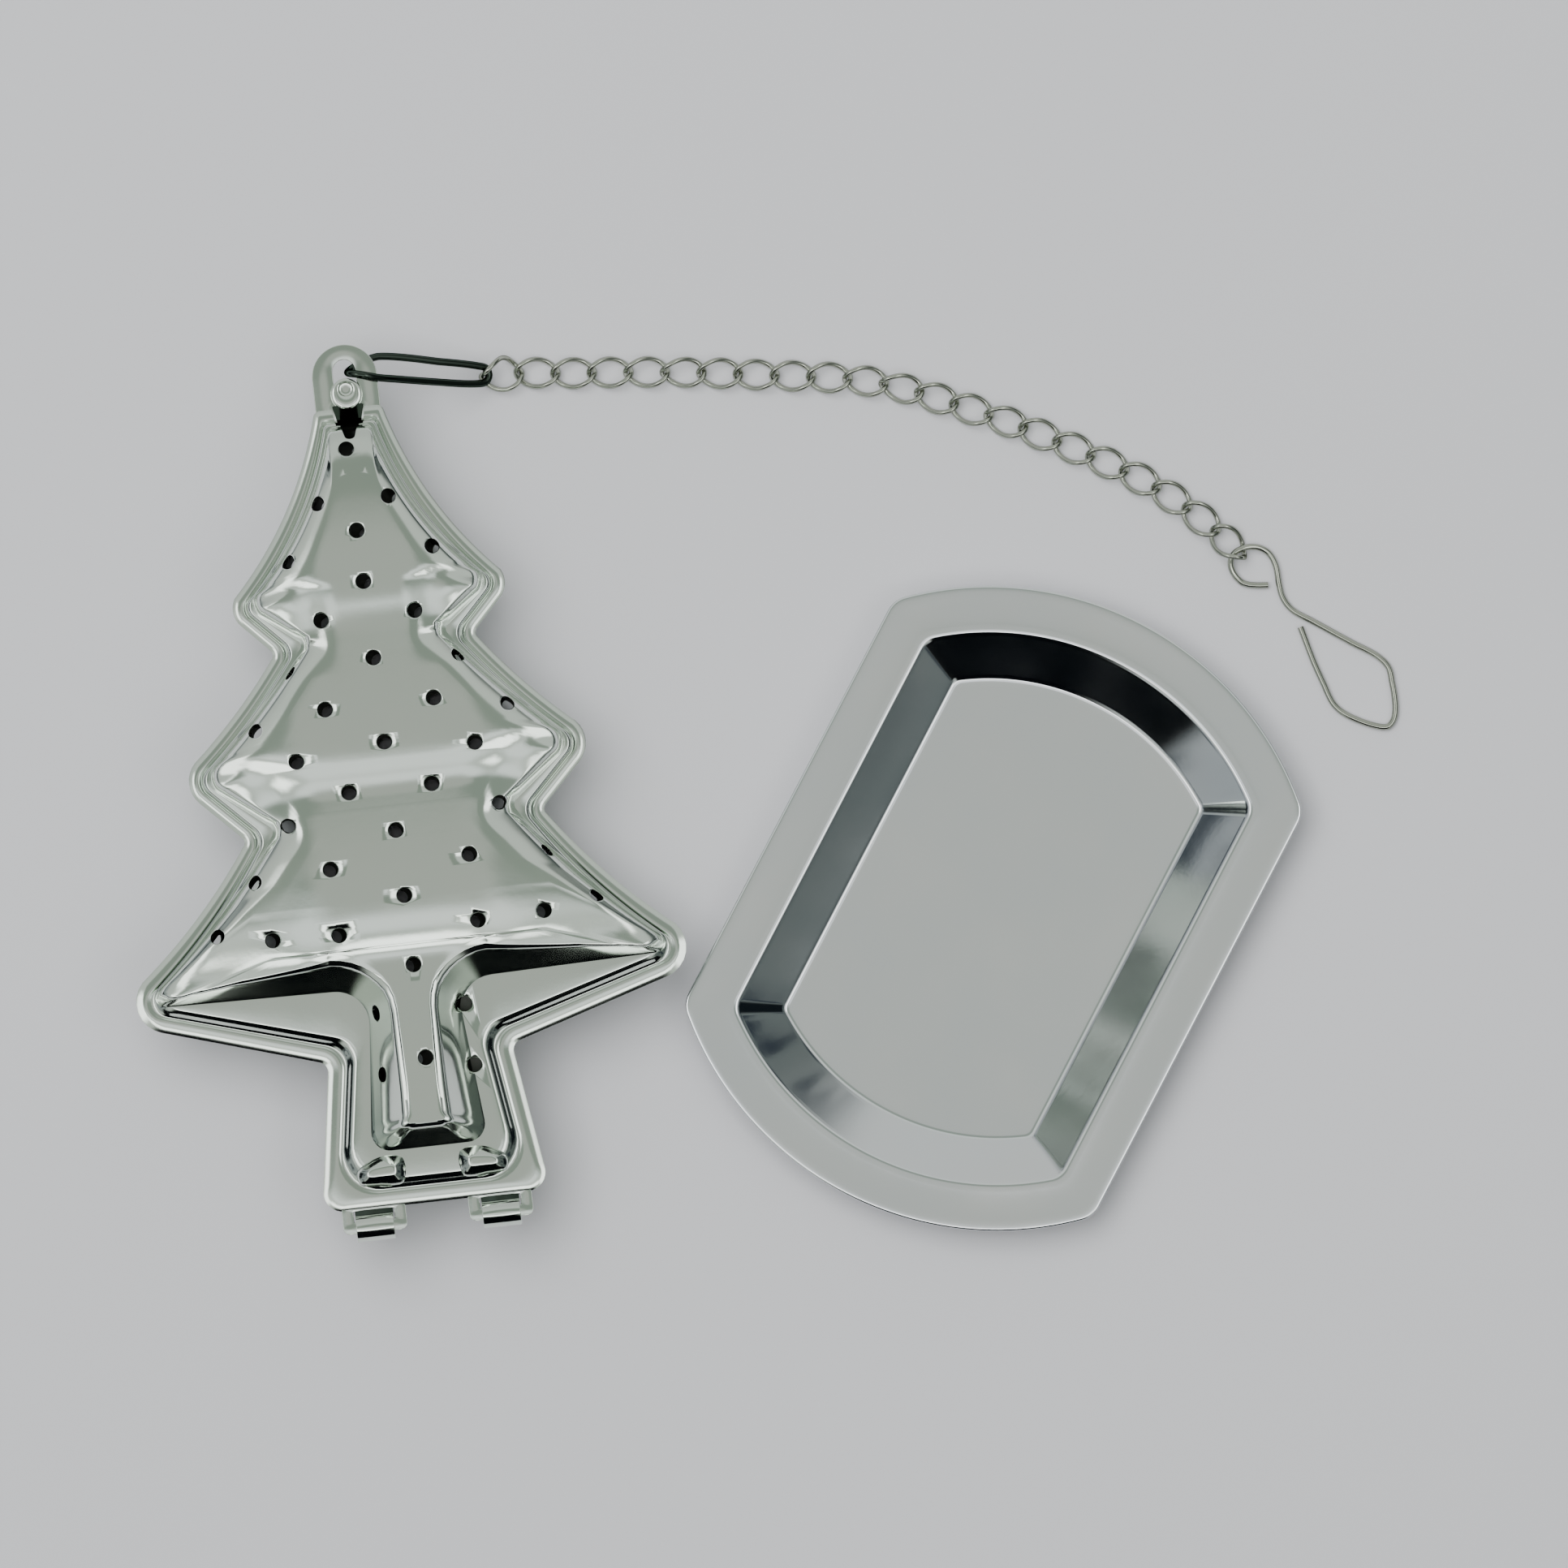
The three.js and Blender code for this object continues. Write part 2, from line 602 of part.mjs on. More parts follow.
// Every link lies on its lowest wire, or is carried a little above the table by a rolled neighbour
const linkLeastHeights = linkHeadingsDeg.map((heading, index) => {
  const points = new LinkCurve(index).getPoints(4 * LINK_STEPS);
  return LINK_WIRE / 2 - Math.min(...points.map((p) => p.z)) + WIRE_GAP / 10;
});
const linkHeights = linkHeadingsDeg.map((heading, index) => (
  Math.max(...linkLeastHeights.slice(1).map((least, k) => least - Math.abs(index - k - 1) * LINK_PLAY / 2))
));

// The bail's tip stands above the table by as much as the first link drops
const firstReach = linkHalfLength + linkHalfPitch - bailOverlap;
const bailTipHeight = linkHeights[1] - Math.sin(firstDip) * firstReach;
const bailTip = new THREE.Vector3(BAIL_REACH, BAIL_TIP_DROP, bailTipHeight);

// Route of the bail's wire in its own slope. The eye comes under the disc, up through the opening and
// back over the rim: shares of the rim's half width from its middle, of the opening's width behind the
// tip, and of the eye's lift. The arms: shares of the run to the tip, of the tip's spread and of the lift.
const eyeShares = [
  [1.8, 0.74, -0.97],
  [0.65, 0.56, -1.06],
  [-0.52, 0.3, -1.08],
  [-1.52, 0.04, -0.74],
  [-1.81, -0.04, -0.1],
  [-1.55, -0.08, 0.52],
  [-0.78, -0.14, 0.95],
  [0.39, -0.22, 1],
  [1.42, -0.25, 0.9],
  [2.6, -0.27, 0.72],
];
const armShares = [
  [0.6, -0.48, 0.3],
  [0.92, -0.5, 0.03],
  [0.98, -0.37, 0],
  [1, 0, 0],
  [0.98, 0.37, 0],
  [0.92, 0.5, -0.03],
  [0.6, 0.72, -0.3],
];

function bailMesh() {
  const toTip = bailTip.clone().sub(bailAxis).setY(0);
  const overRim = toTip.clone().setLength(rimHalfWidth);
  const up = new THREE.Vector3(-toTip.z, 0, toTip.x).setLength(rimHalfWidth + BAIL_EYE_PLAY);
  const placer = (step, spread) => ([run, behind, lift]) => {
    const point = bailAxis.clone().addScaledVector(step, run).addScaledVector(up, lift);
    return point.setY(bailTip.y + behind * spread);
  };
  const eye = eyeShares.map(placer(overRim, 2 * OPENING_HALF_WIDTH));
  const arms = armShares.map(placer(toTip, BAIL_TIP_SPREAD));
  const route = new THREE.CatmullRomCurve3([...eye, ...arms], true, 'centripetal');
  const geometry = new THREE.TubeGeometry(route, BAIL_STEPS, BAIL_WIRE / 2, BAIL_SIDES, true);
  const mesh = new THREE.Mesh(geometry, wireSteel);
  mesh.name = 'wire_bail';
  mesh.position.set(discCentre.x, discCentre.y, 0);
  return mesh;
}

// Each link's middle, heading and dip, and the end of the chain
function chainPlaces() {
  const joint = bailTip.clone().add(new THREE.Vector3(discCentre.x, discCentre.y, 0));
  const places = linkHeadingsDeg.map((degrees, index) => {
    const heading = THREE.MathUtils.degToRad(degrees);
    const dip = index === 0 ? firstDip : 0;
    const ahead = new THREE.Vector3(Math.cos(dip), 0, Math.sin(dip)).applyAxisAngle(upright, heading);
    const middle = joint.clone();
    if (index === 0) {
      middle.addScaledVector(ahead, linkHalfLength - bailOverlap);
    } else {
      middle.addScaledVector(ahead, linkHalfPitch).setZ(linkHeights[index]);
    }
    joint.copy(middle).addScaledVector(ahead, linkHalfPitch);
    return { middle, heading, dip };
  });
  return { places, end: joint };
}

function linkMesh(place, index) {
  const route = new LinkCurve(index);
  const geometry = new THREE.TubeGeometry(route, LINK_STEPS, LINK_WIRE / 2, LINK_SIDES, true);
  geometry.rotateY(-place.dip);
  const mesh = new THREE.Mesh(geometry, wireSteel);
  mesh.name = `chain_link_${String(index + 1).padStart(2, '0')}`;
  mesh.rotation.z = place.heading;
  mesh.position.copy(place.middle);
  return mesh;
}

// The hook's eye crosses the last link inside its end, with some slack
function hookMesh(end, heading) {
  const points = hookShares.map(([right, behind, lift]) => new THREE.Vector3(
    right * HOOK_SPAN,
    behind * HOOK_SPAN,
    HOOK_WIRE / 2 + lift * HOOK_WIRE,
  ));
  const route = new THREE.CatmullRomCurve3(points, false, 'centripetal');
  const section = new THREE.Shape();
  section.absarc(0, 0, HOOK_WIRE / 2, 0, 2 * Math.PI);
  const geometry = new THREE.ExtrudeGeometry(section, {
    steps: HOOK_STEPS,
    extrudePath: route,
    curveSegments: HOOK_SIDES / 2,
    bevelEnabled: false,
  });
  const mesh = new THREE.Mesh(geometry, wireSteel);
  mesh.name = 'hanging_hook';
  const slack = 2 * LINK_PLAY;
  mesh.position.set(end.x - slack * Math.cos(heading), end.y - slack * Math.sin(heading), 0);
  return mesh;
}

// Tray outline: two straight sides and two bulged ends with rounded corners
const TRAY_END_STEPS = 12;
const TRAY_CORNER_STEPS = 3;

function trayRing(halfWidth, halfLength, endRadius, cornerRadius) {
  const ring = [];
  const endCentre = halfLength - endRadius;
  const reach = endRadius - cornerRadius;
  const cornerX = halfWidth - cornerRadius;
  const cornerY = endCentre + Math.sqrt(reach * reach - cornerX * cornerX);
  const meet = Math.atan2(cornerY - endCentre, cornerX);
  [1, -1].forEach((end) => {
    for (let k = 0; k <= TRAY_CORNER_STEPS; k += 1) {
      const angle = (meet * k) / TRAY_CORNER_STEPS;
      ring.push([cornerX + cornerRadius * Math.cos(angle), cornerY + cornerRadius * Math.sin(angle), end]);
    }
    for (let k = 1; k < TRAY_END_STEPS; k += 1) {
      const angle = THREE.MathUtils.lerp(meet, Math.PI - meet, k / TRAY_END_STEPS);
      ring.push([endRadius * Math.cos(angle), endCentre + endRadius * Math.sin(angle), end]);
    }
    for (let k = TRAY_CORNER_STEPS; k >= 0; k -= 1) {
      const angle = (meet * k) / TRAY_CORNER_STEPS;
      ring.push([-cornerX - cornerRadius * Math.cos(angle), cornerY + cornerRadius * Math.sin(angle), end]);
    }
  });
  return ring.map(([x, y, end]) => new THREE.Vector2(x * end, y * end)).reverse();
}

function trayMesh() {
  const rimInside = TRAY_HALF_WIDTH - TRAY_RIM_WIDTH;
  const floorWidth = rimInside - TRAY_WALL_RUN;
  const ring = (inset, corner) => trayRing(
    TRAY_HALF_WIDTH - inset,
    TRAY_HALF_LENGTH - inset,
    TRAY_END_RADIUS - inset,
    corner,
  );
  const floorInset = TRAY_HALF_WIDTH - floorWidth;
  const rings = [
    ring(0, TRAY_CORNER_RADIUS),
    ring(TRAY_RIM_WIDTH, TRAY_RIM_CORNER_RADIUS),
    ring(floorInset, TRAY_FLOOR_CORNER_RADIUS),
  ];
  const heights = [TRAY_DEPTH, TRAY_DEPTH, TRAY_SHEET];
  const geometry = pressedSheet(rings, heights, TRAY_SHEET);
  const mesh = new THREE.Mesh(geometry, traySteel);
  mesh.name = 'drip_tray';
  mesh.rotation.z = THREE.MathUtils.degToRad(TRAY_TURN_DEG);
  return mesh;
}

// Assembly
const infuser = new THREE.Group();
const tree = new THREE.Group();
tree.position.copy(treeApex);
tree.rotation.z = treeTurn;

const upper = new THREE.Mesh(upperShell(), shellSteel);
upper.name = 'upper_shell';
tree.add(upper);
const lower = new THREE.Mesh(lowerShell(), shellSteel);
lower.name = 'lower_shell';
tree.add(lower);
infuser.add(tree);

infuser.add(bailMesh());
const chain = chainPlaces();
chain.places.forEach((place, index) => infuser.add(linkMesh(place, index)));
infuser.add(hookMesh(chain.end, chain.places[LINK_COUNT - 1].heading));
infuser.add(trayMesh());

export default infuser;
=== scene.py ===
"""Fir-tree tea infuser on its chain, beside its drip tray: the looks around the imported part."""

import math

import bmesh
import bpy
from mathutils import Matrix, Vector
from mathutils.bvhtree import BVHTree


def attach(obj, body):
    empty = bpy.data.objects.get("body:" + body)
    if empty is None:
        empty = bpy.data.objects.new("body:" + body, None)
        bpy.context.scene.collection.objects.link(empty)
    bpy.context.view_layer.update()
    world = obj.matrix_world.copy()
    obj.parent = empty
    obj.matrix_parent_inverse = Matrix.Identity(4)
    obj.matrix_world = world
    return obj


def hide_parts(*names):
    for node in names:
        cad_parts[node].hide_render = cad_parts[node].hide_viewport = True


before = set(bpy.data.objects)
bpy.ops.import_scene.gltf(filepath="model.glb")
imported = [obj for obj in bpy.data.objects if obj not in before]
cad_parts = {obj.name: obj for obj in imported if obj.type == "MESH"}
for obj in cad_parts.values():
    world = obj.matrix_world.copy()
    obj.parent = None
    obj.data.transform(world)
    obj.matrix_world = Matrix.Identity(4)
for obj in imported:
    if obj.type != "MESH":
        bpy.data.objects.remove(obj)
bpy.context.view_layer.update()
MM = 0.001


# Camera, straight above and a little to the front, as the photograph was taken
VIEW_CENTRE = Vector((-21.5, 12.75, 4.5)) * MM
VIEW_WIDTH = 161 * MM
VIEW_DISTANCE = 2.2
VIEW_ELEVATION_DEG = 89


def place_camera():
    """A long lens over the table, as wide as the photograph."""
    camera = bpy.data.cameras.new("camera")
    camera.lens = camera.sensor_width * VIEW_DISTANCE / VIEW_WIDTH
    stand = bpy.data.objects.new("camera", camera)
    bpy.context.scene.collection.objects.link(stand)
    tilt = math.radians(VIEW_ELEVATION_DEG)
    stand.location = VIEW_CENTRE + Vector((0, -math.cos(tilt), math.sin(tilt))) * VIEW_DISTANCE
    stand.rotation_euler = (math.pi / 2 - tilt, 0, 0)
    bpy.context.scene.camera = stand


place_camera()


# Finishes: each starts from stainless steel as it is sold, and differs by how its surface was made; the
# two dark finishes and the dark edges of the wires are painted shade
HAZE_MM = 9
GRAIN_HEIGHT_MM = 0.0015


def linear(code):
    """An sRGB hex value as linear light."""
    channels = [int(code[i:i + 2], 16) / 255 for i in (1, 3, 5)]
    return [c / 12.92 if c <= 0.04045 else ((c + 0.055) / 1.055) ** 2.4 for c in channels] + [1]


def add(tree, kind, links=None, **settings):
    """Adds a node; settings are its properties or unlinked inputs, links feed its inputs."""
    node = tree.nodes.new(kind)
    for key, value in settings.items():
        if hasattr(node, key):
            setattr(node, key, value)
        else:
            node.inputs[key.replace("_", " ")].default_value = value
    for key, source in (links or {}).items():
        tree.links.new(source, node.inputs[key])
    return node


def steel(name, tint, warm_tint, roughness, ripple_mm, ripple_height_mm, grain_mm, edge="#FFFFFF"):
    """Stainless steel: a mirror with faint press ripples, fine polishing grain and handling haze.

    The tint turns warmer where the haze is thicker, and the edge colours what grazing light shows. The
    grain is drawn coarser than real polishing marks, so that it still shows at the size of the picture.
    """
    material = bpy.data.materials.new(name)
    material.use_nodes = True
    tree = material.node_tree
    tree.nodes.clear()
    place = add(tree, "ShaderNodeTexCoord").outputs["Object"]
    ripple = add(tree, "ShaderNodeTexNoise", {"Vector": place}, Scale=1 / (ripple_mm * MM), Detail=2.0)
    grain = add(tree, "ShaderNodeTexNoise", {"Vector": place}, Scale=1 / (grain_mm * MM), Detail=3.0)
    haze = add(tree, "ShaderNodeTexNoise", {"Vector": place}, Scale=1 / (HAZE_MM * MM), Detail=4.0)
    rough = add(tree, "ShaderNodeMapRange", {"Value": haze.outputs["Fac"]}, From_Min=0.35, From_Max=0.7,
                To_Min=roughness * 0.8, To_Max=roughness * 1.35)
    tone = add(tree, "ShaderNodeMix", {"Factor": haze.outputs["Fac"]}, data_type="RGBA",
               A=linear(tint), B=linear(warm_tint))
    wave = add(tree, "ShaderNodeBump", {"Height": ripple.outputs["Fac"]}, Strength=1.0,
               Distance=ripple_height_mm * MM)
    fine = add(tree, "ShaderNodeBump", {"Height": grain.outputs["Fac"], "Normal": wave.outputs["Normal"]},
               Strength=1.0, Distance=GRAIN_HEIGHT_MM * MM)
    shader = add(tree, "ShaderNodeBsdfPrincipled",
                 {"Base Color": tone.outputs["Result"], "Roughness": rough.outputs["Result"],
                  "Normal": fine.outputs["Normal"]}, Metallic=1.0, Specular_Tint=linear(edge))
    add(tree, "ShaderNodeOutputMaterial", {"Surface": shader.outputs["BSDF"]})
    return material


# Deep-drawn and polished sheet: a slightly green mirror whose press ripples bend what it shows
shell_steel = steel("polished_stainless_sheet", "#D9E4DB", "#DFE5DB", 0.09, 6, 0.012, 0.5)

# The same sheet inside, never polished: dull, and painted dark as the shade inside the closed shell, so
# that the holes stay dark
dull_steel_painted_shade = steel("dull_inner_stainless_painted_shade", "#737772", "#7A7B74", 0.42, 6, 0.012, 0.5)

# Polished tray stock: a cooler and lighter mirror, with longer and flatter ripples
tray_steel = steel("polished_stainless_tray", "#EEF4F8", "#F4F5F4", 0.1, 9, 0.01, 0.6)

# Drawn wire: a bright core line between dark edges, and the nearly black edge colour paints that shade on
# the edges
wire_steel = steel("drawn_stainless_wire", "#B4B9AC", "#BDC0B3", 0.12, 2, 0.003, 0.4, "#20281F")

# Steel painted dark, its edges painted nearly black as shade: painted shade on the ramp, which faces down
# into the dark, and on the hinge leaf covered in the seam; the bail takes the same dark colour
dark_steel_painted_shade = steel("dark_stainless_painted_shade", "#414E46", "#49514A", 0.12, 2, 0.003, 0.4, "#10160F")


# Sizes of the pressed shells, in millimetres as in the part's source
TREE_HALF_WIDTH = 31
TREE_LENGTH = 81.8
SHELL_SHEET = 0.45
SEAM_HEIGHT = 9.0
SEAM_GAP = 0.3
TREE_TURN = math.radians(6.4)
TREE_APEX = Vector((-66.2, 51.2, 0))
LEDGE_HEIGHT = 1.35
SMOOTH_DEG = 40

# Outline of a shell: share of the half width, share of the length, corner radius, bow of the next edge
outline_shares = [
    (0.108, 0, 0.8, 1.3),
    (0.471, 0.241, 2.4, 0),
    (0.329, 0.297, 0.7, 0.35),
    (0.697, 0.447, 3, 0),
    (0.49, 0.526, 0.7, 0.6),
    (1, 0.7335, 3.25, 0),
    (0.305, 0.814, 1, 0),
    (0.379, 1, 2, 0),
]

# Foot of the drawn dome: close inside the flanks, and set back in the notches and around the trunk
foot_shares = [
    (0.07, 0.022, 0.8, 1.3),
    (0.401, 0.2377, 1.7, 0),
    (0.232, 0.289, 0.6, 0.35),
    (0.6185, 0.4465, 1.9, 0),
    (0.39, 0.5168, 0.8, 0.6),
    (0.888, 0.7205, 1, 0),
    (0.143, 0.7262, 3.4, 0),
    (0.195, 0.9305, 1.9, 0),
]

# Ring around the middle of the dome, where its rings give way to a grid
crown_shares = [
    (0.06, 0.085, 1.5, 0.5),
    (0.2, 0.214, 2.6, 0),
    (0.13, 0.296, 2.6, 0),
    (0.4, 0.425, 2.6, 0),
    (0.26, 0.524, 2.6, 0),
    (0.62, 0.673, 2.6, 0),
    (0.06, 0.68, 6.5, 0),
    (0.04, 0.899, 0.8, 0),
]

# At each corner of the foot: width of the wall at the sides and to the front, how even its slope is
# (0 steep, 1 even) at the sides and to the front, and the depth and width of the soft shoulder over it
wall_shares = [
    (0.8, 0.8, 0, 0, 0.4, 3),
    (0.95, 0.95, 0, 0, 0.5, 5),
    (0.95, 0.95, 0, 0, 0.45, 4),
    (0.95, 0.95, 0, 0, 0.5, 5),
    (0.95, 0.95, 0, 0, 0.5, 5),
    (0.95, 1.5, 0, 1, 0.5, 5),
    (3.1, 3.1, 1, 1, 0.2, 1.8),
    (4, 4, 1, 1, 0.04, 0.5),
]

# Flange, groove and step: distance in from the edge, and height
flange_stations = [
    (0, 0.4),
    (0.1, 0.45),
    (0.3, 0.528),
    (0.55, 0.588),
    (0.8, 0.612),
    (0.98, 0.618),
    (1.06, 0.605),
    (1.13, 0.56),
    (1.19, 0.53),
    (1.25, 0.58),
    (1.32, 0.72),
    (1.4, 0.95),
    (1.48, 1.15),
    (1.56, 1.27),
    (1.64, 1.33),
    (1.72, 1.35),
]

# At each corner of the flange: radius of the groove, and how much wider its step is
groove_shares = [
    (0.7, 0),
    (1.4, 0),
    (1.6, 0),
    (1.7, 0),
    (1.8, 0),
    (1.7, 1.1),
    (2.4, 1.5),
    (3.7, 1.5),
]
STEP_START = 1.1
BEAD_GROWTH = 0.3

# Hollows under the tips of the first two tiers: inner edge, tip, top at either, bottom and depth
hollow_shares = [
    (0.138, 0.401, 0.219, 0.205, 0.289, 0.04),
    (0.3, 0.6185, 0.441, 0.425, 0.517, 0.02),
]

# Fall of the roof towards the tips: its start and steepness, and the rows it holds for
tip_fall_shares = [
    (0.16, 0.075, -0.1, 0.285),
    (0.3, 0.075, 0.285, 0.515),
    (0.31, 0.12, 0.515, 0.8),
]

# Holes: down the middle, and in pairs across and down, all leaning a little to the right
column_shares = [0.0535, 0.157, 0.221, 0.317, 0.423, 0.534, 0.616, 0.703, 0.82]
pair_shares = [
    (0.119, 0.118),
    (0.241, 0.186),
    (0.156, 0.264),
    (0.28, 0.324),
    (0.18, 0.375),
    (0.42, 0.391),
    (0.296, 0.436),
    (0.137, 0.481),
    (0.351, 0.514),
    (0.23, 0.574),
    (0.486, 0.579),
    (0.23, 0.657),
    (0.45, 0.654),
    (0.631, 0.641),
    (0.147, 0.758),
    (0.153, 0.835),
]
HOLE_RADIUS = 0.75
HOLE_SKEW_SHARE = 0.0185
HOLE_SKEW_CENTRE = 0.39
HOLE_SIDES = 24

CORNER_STEPS = 8
EDGE_STEPS = 36
LEAST_RADIUS = 0.2
MOST_CUT_SHARE = 0.45


def ease(value, start, end):
    """A smooth step from 0 at the start to 1 at the end."""
    share = max(0, min(1, (value - start) / (end - start)))
    return share * share * (3 - 2 * share)


def corners_from(shares):
    """Both halves of an outline, clockwise from the apex: [place, radius, bow of the next edge]."""
    right = [[Vector((across * TREE_HALF_WIDTH, -down * TREE_LENGTH)), radius, bow]
             for across, down, radius, bow in shares]
    left = []
    for i, (place, radius, bow) in enumerate(right):
        left.append([Vector((-place.x, place.y)), radius, right[i - 1][2] if i else 0])
    return right + left[::-1]


def inset(corners, distance):
    """An outline moved in by a distance: outer corners get tighter, inner corners wider."""
    moved = []
    for i, (place, radius, bow) in enumerate(corners):
        arriving = (place - corners[i - 1][0]).normalized()
        leaving = (corners[(i + 1) % len(corners)][0] - place).normalized()
        side = Vector((arriving.y, -arriving.x)) + Vector((leaving.y, -leaving.x))
        reach = distance / (1 + arriving.dot(leaving))
        turns_right = arriving.cross(leaving) < 0
        rounded = max(radius + (-distance if turns_right else distance), LEAST_RADIUS)
        moved.append([place + side * reach, rounded, bow])
    return moved


def ring_of(corners):
    """Rounds the corners and bows the edges; every outline gives the same number of points."""
    arcs = []
    for i, (place, radius, bow) in enumerate(corners):
        back = corners[i - 1][0] - place
        ahead = corners[(i + 1) % len(corners)][0] - place
        room = MOST_CUT_SHARE * min(back.length, ahead.length)
        back.normalize()
        ahead.normalize()
        half_angle = math.acos(max(-1, min(1, back.dot(ahead)))) / 2
        cut = min(radius / math.tan(half_angle), room)
        radius = cut * math.tan(half_angle)
        centre = place + (back + ahead).normalized() * (radius / math.sin(half_angle))
        start = place + back * cut - centre
        end = place + ahead * cut - centre
        turn = math.atan2(start.cross(end), start.dot(end))
        arc = []
        for k in range(CORNER_STEPS + 1):
            step = start.copy()
            step.rotate(Matrix.Rotation(turn * k / CORNER_STEPS, 2))
            arc.append(centre + step)
        arcs.append(arc)
    ring = []
    for i, arc in enumerate(arcs):
        ring += arc
        if (i + 1) % (len(arcs) // 2) == 0:
            continue
        start = arc[-1]
        along = arcs[(i + 1) % len(arcs)][0] - start
        inward = Vector((along.y, -along.x)).normalized()
        for k in range(1, EDGE_STEPS):
            t = k / EDGE_STEPS
            ring.append(start + along * t + inward * corners[i][2] * 4 * t * (1 - t))
    return ring


# Slope of the crown down the tree, in degrees: each tier ends in a short fall towards the next
CROWN_TOP = 8.8
crown_slope_shares = [
    (0, -24),
    (0.05, -9),
    (0.12, -2.5),
    (0.19, 0),
    (0.222, 0),
    (0.25, 4.5),
    (0.268, 2),
    (0.285, -1.5),
    (0.36, -1),
    (0.42, 0),
    (0.462, 8),
    (0.476, 3),
    (0.49, -2.5),
    (0.57, -1),
    (0.62, 0.5),
    (0.655, 7),
    (0.67, 12),
    (0.684, 14),
    (0.689, 2),
    (0.695, 0),
    (1, 0),
]


def crown_fall(down):
    """Height lost from the apex to a place down the tree."""
    fall = 0
    for (start, above), (end, below) in zip(crown_slope_shares, crown_slope_shares[1:]):
        part = max(0, min(1, (down - start) / (end - start)))
        middle = math.radians(above + (below - above) * part / 2)
        fall += math.tan(middle) * part * (end - start) * TREE_LENGTH
    return fall


CROWN_HIGHEST = max(-crown_fall(k / 400) for k in range(401))

# The skirt's flanks keep this share of the fall that the middle of the crown makes below it
SKIRT_START = 0.62
SKIRT_KEPT_SHARE = 0.45

# Softness of the turn where the roof starts to fall, and of the ends of the rows that it holds for
TIP_TURN_SQUARED = 0.3
ROW_BLEND = 0.015

# Crease over a hollow, and the round dent in the middle of it: height, place and width each way
CREASE_HEIGHT = 0.2
CREASE_WIDTH = 0.0075
DENT_HEIGHT = 0.1
DENT_OUT = 0.52
DENT_OUT_WIDTH = 0.16
DENT_DOWN = 0.42
DENT_DOWN_WIDTH = 0.2


def hollow_depth(across, down):
    """How far the pressed hollows lower the roof at a place."""
    depth_here = 0
    for inner, tip, low_top, high_top, bottom, depth in hollow_shares:
        out = max(0, min(1, (across - inner) / (tip - inner)))
        top = low_top + (high_top - low_top) * min(1, 1.6 * out)
        if not top < down < bottom + 0.05:
            continue
        along = max(0, min(1, (down - top) / (bottom - top)))
        gate = ease(across, inner - 0.015, inner + 0.05) * ease(down, bottom + 0.045, bottom - 0.005)
        crease = CREASE_HEIGHT * ease(down, top, top + CREASE_WIDTH)
        spread = ((out - DENT_OUT) / DENT_OUT_WIDTH) ** 2 + ((along - DENT_DOWN) / DENT_DOWN_WIDTH) ** 2
        depth_here += gate * (crease + depth * along - DENT_HEIGHT * math.exp(-spread))
    return depth_here


def roof(x, y):
    """Height of the drawn dome inside its walls."""
    down = -y / TREE_LENGTH
    across = abs(x) / TREE_HALF_WIDTH
    fall = crown_fall(down)
    flank = ease(across, 0.2, 0.36) * ease(down, SKIRT_START - 0.02, SKIRT_START + 0.02)
    height = CROWN_TOP - CROWN_HIGHEST - fall
    height += flank * SKIRT_KEPT_SHARE * (fall - crown_fall(SKIRT_START))
    for start, steep, top, bottom in tip_fall_shares:
        rows = ease(down, top - ROW_BLEND, top + ROW_BLEND)
        rows *= ease(down, bottom + ROW_BLEND, bottom - ROW_BLEND)
        beyond = (across - start) * TREE_HALF_WIDTH
        height -= rows * steep * (math.sqrt(beyond * beyond + TIP_TURN_SQUARED) + beyond) / 2
    return height - hollow_depth(across, down)


def first_ring(bm, places):
    """A closed loop of edges through the places."""
    verts = [bm.verts.new(place) for place in places]
    for i, vert in enumerate(verts):
        bm.edges.new((vert, verts[(i + 1) % len(verts)]))
    return verts


def grow_ring(bm, verts, places):
    """Extrudes the last ring of edges and moves it to the next ring's places."""
    count = len(verts)
    edges = [bm.edges.get((verts[i], verts[(i + 1) % count])) for i in range(count)]
    grown = bmesh.ops.extrude_edge_only(bm, edges=edges)["geom"]
    fresh = {tuple(v.co): v for v in grown if isinstance(v, bmesh.types.BMVert)}
    ordered = [fresh[tuple(v.co)] for v in verts]
    for vert, place in zip(ordered, places):
        vert.co = place
    return ordered


# Rise of a wall: share of its width, share of its height, for a steep wall and for an even slope
wall_rise_shares = [
    (0, 0, 0),
    (0.05, 0.05, 0.04),
    (0.12, 0.17, 0.12),
    (0.26, 0.42, 0.29),
    (0.4, 0.62, 0.46),
    (0.54, 0.775, 0.63),
    (0.67, 0.88, 0.787),
    (0.76, 0.93, 0.895),
    (0.815, 0.957, 0.955),
    (0.86, 0.974, 0.978),
    (0.93, 0.99, 0.99),
    (1, 1, 1),
]
SHOULDER_STEPS = 9
CROWN_CUTS = 13
MOST_WALL_SHARE = 0.93
LEAST_SLANT = 0.4
FRONT_DIP_SHARE = 0.15
SMOOTH_ABOVE = 2.5
SMOOTH_PASSES = 2


def around(shares):
    """The shares of the corners, one set for each point of a ring."""
    both = shares + shares[::-1]
    ring = []
    for i, own in enumerate(both):
        ring += [own] * (CORNER_STEPS + 1)
        if (i + 1) % len(shares) == 0:
            continue
        for k in range(1, EDGE_STEPS):
            ring.append([a + (b - a) * k / EDGE_STEPS for a, b in zip(own, both[i + 1])])
    return ring


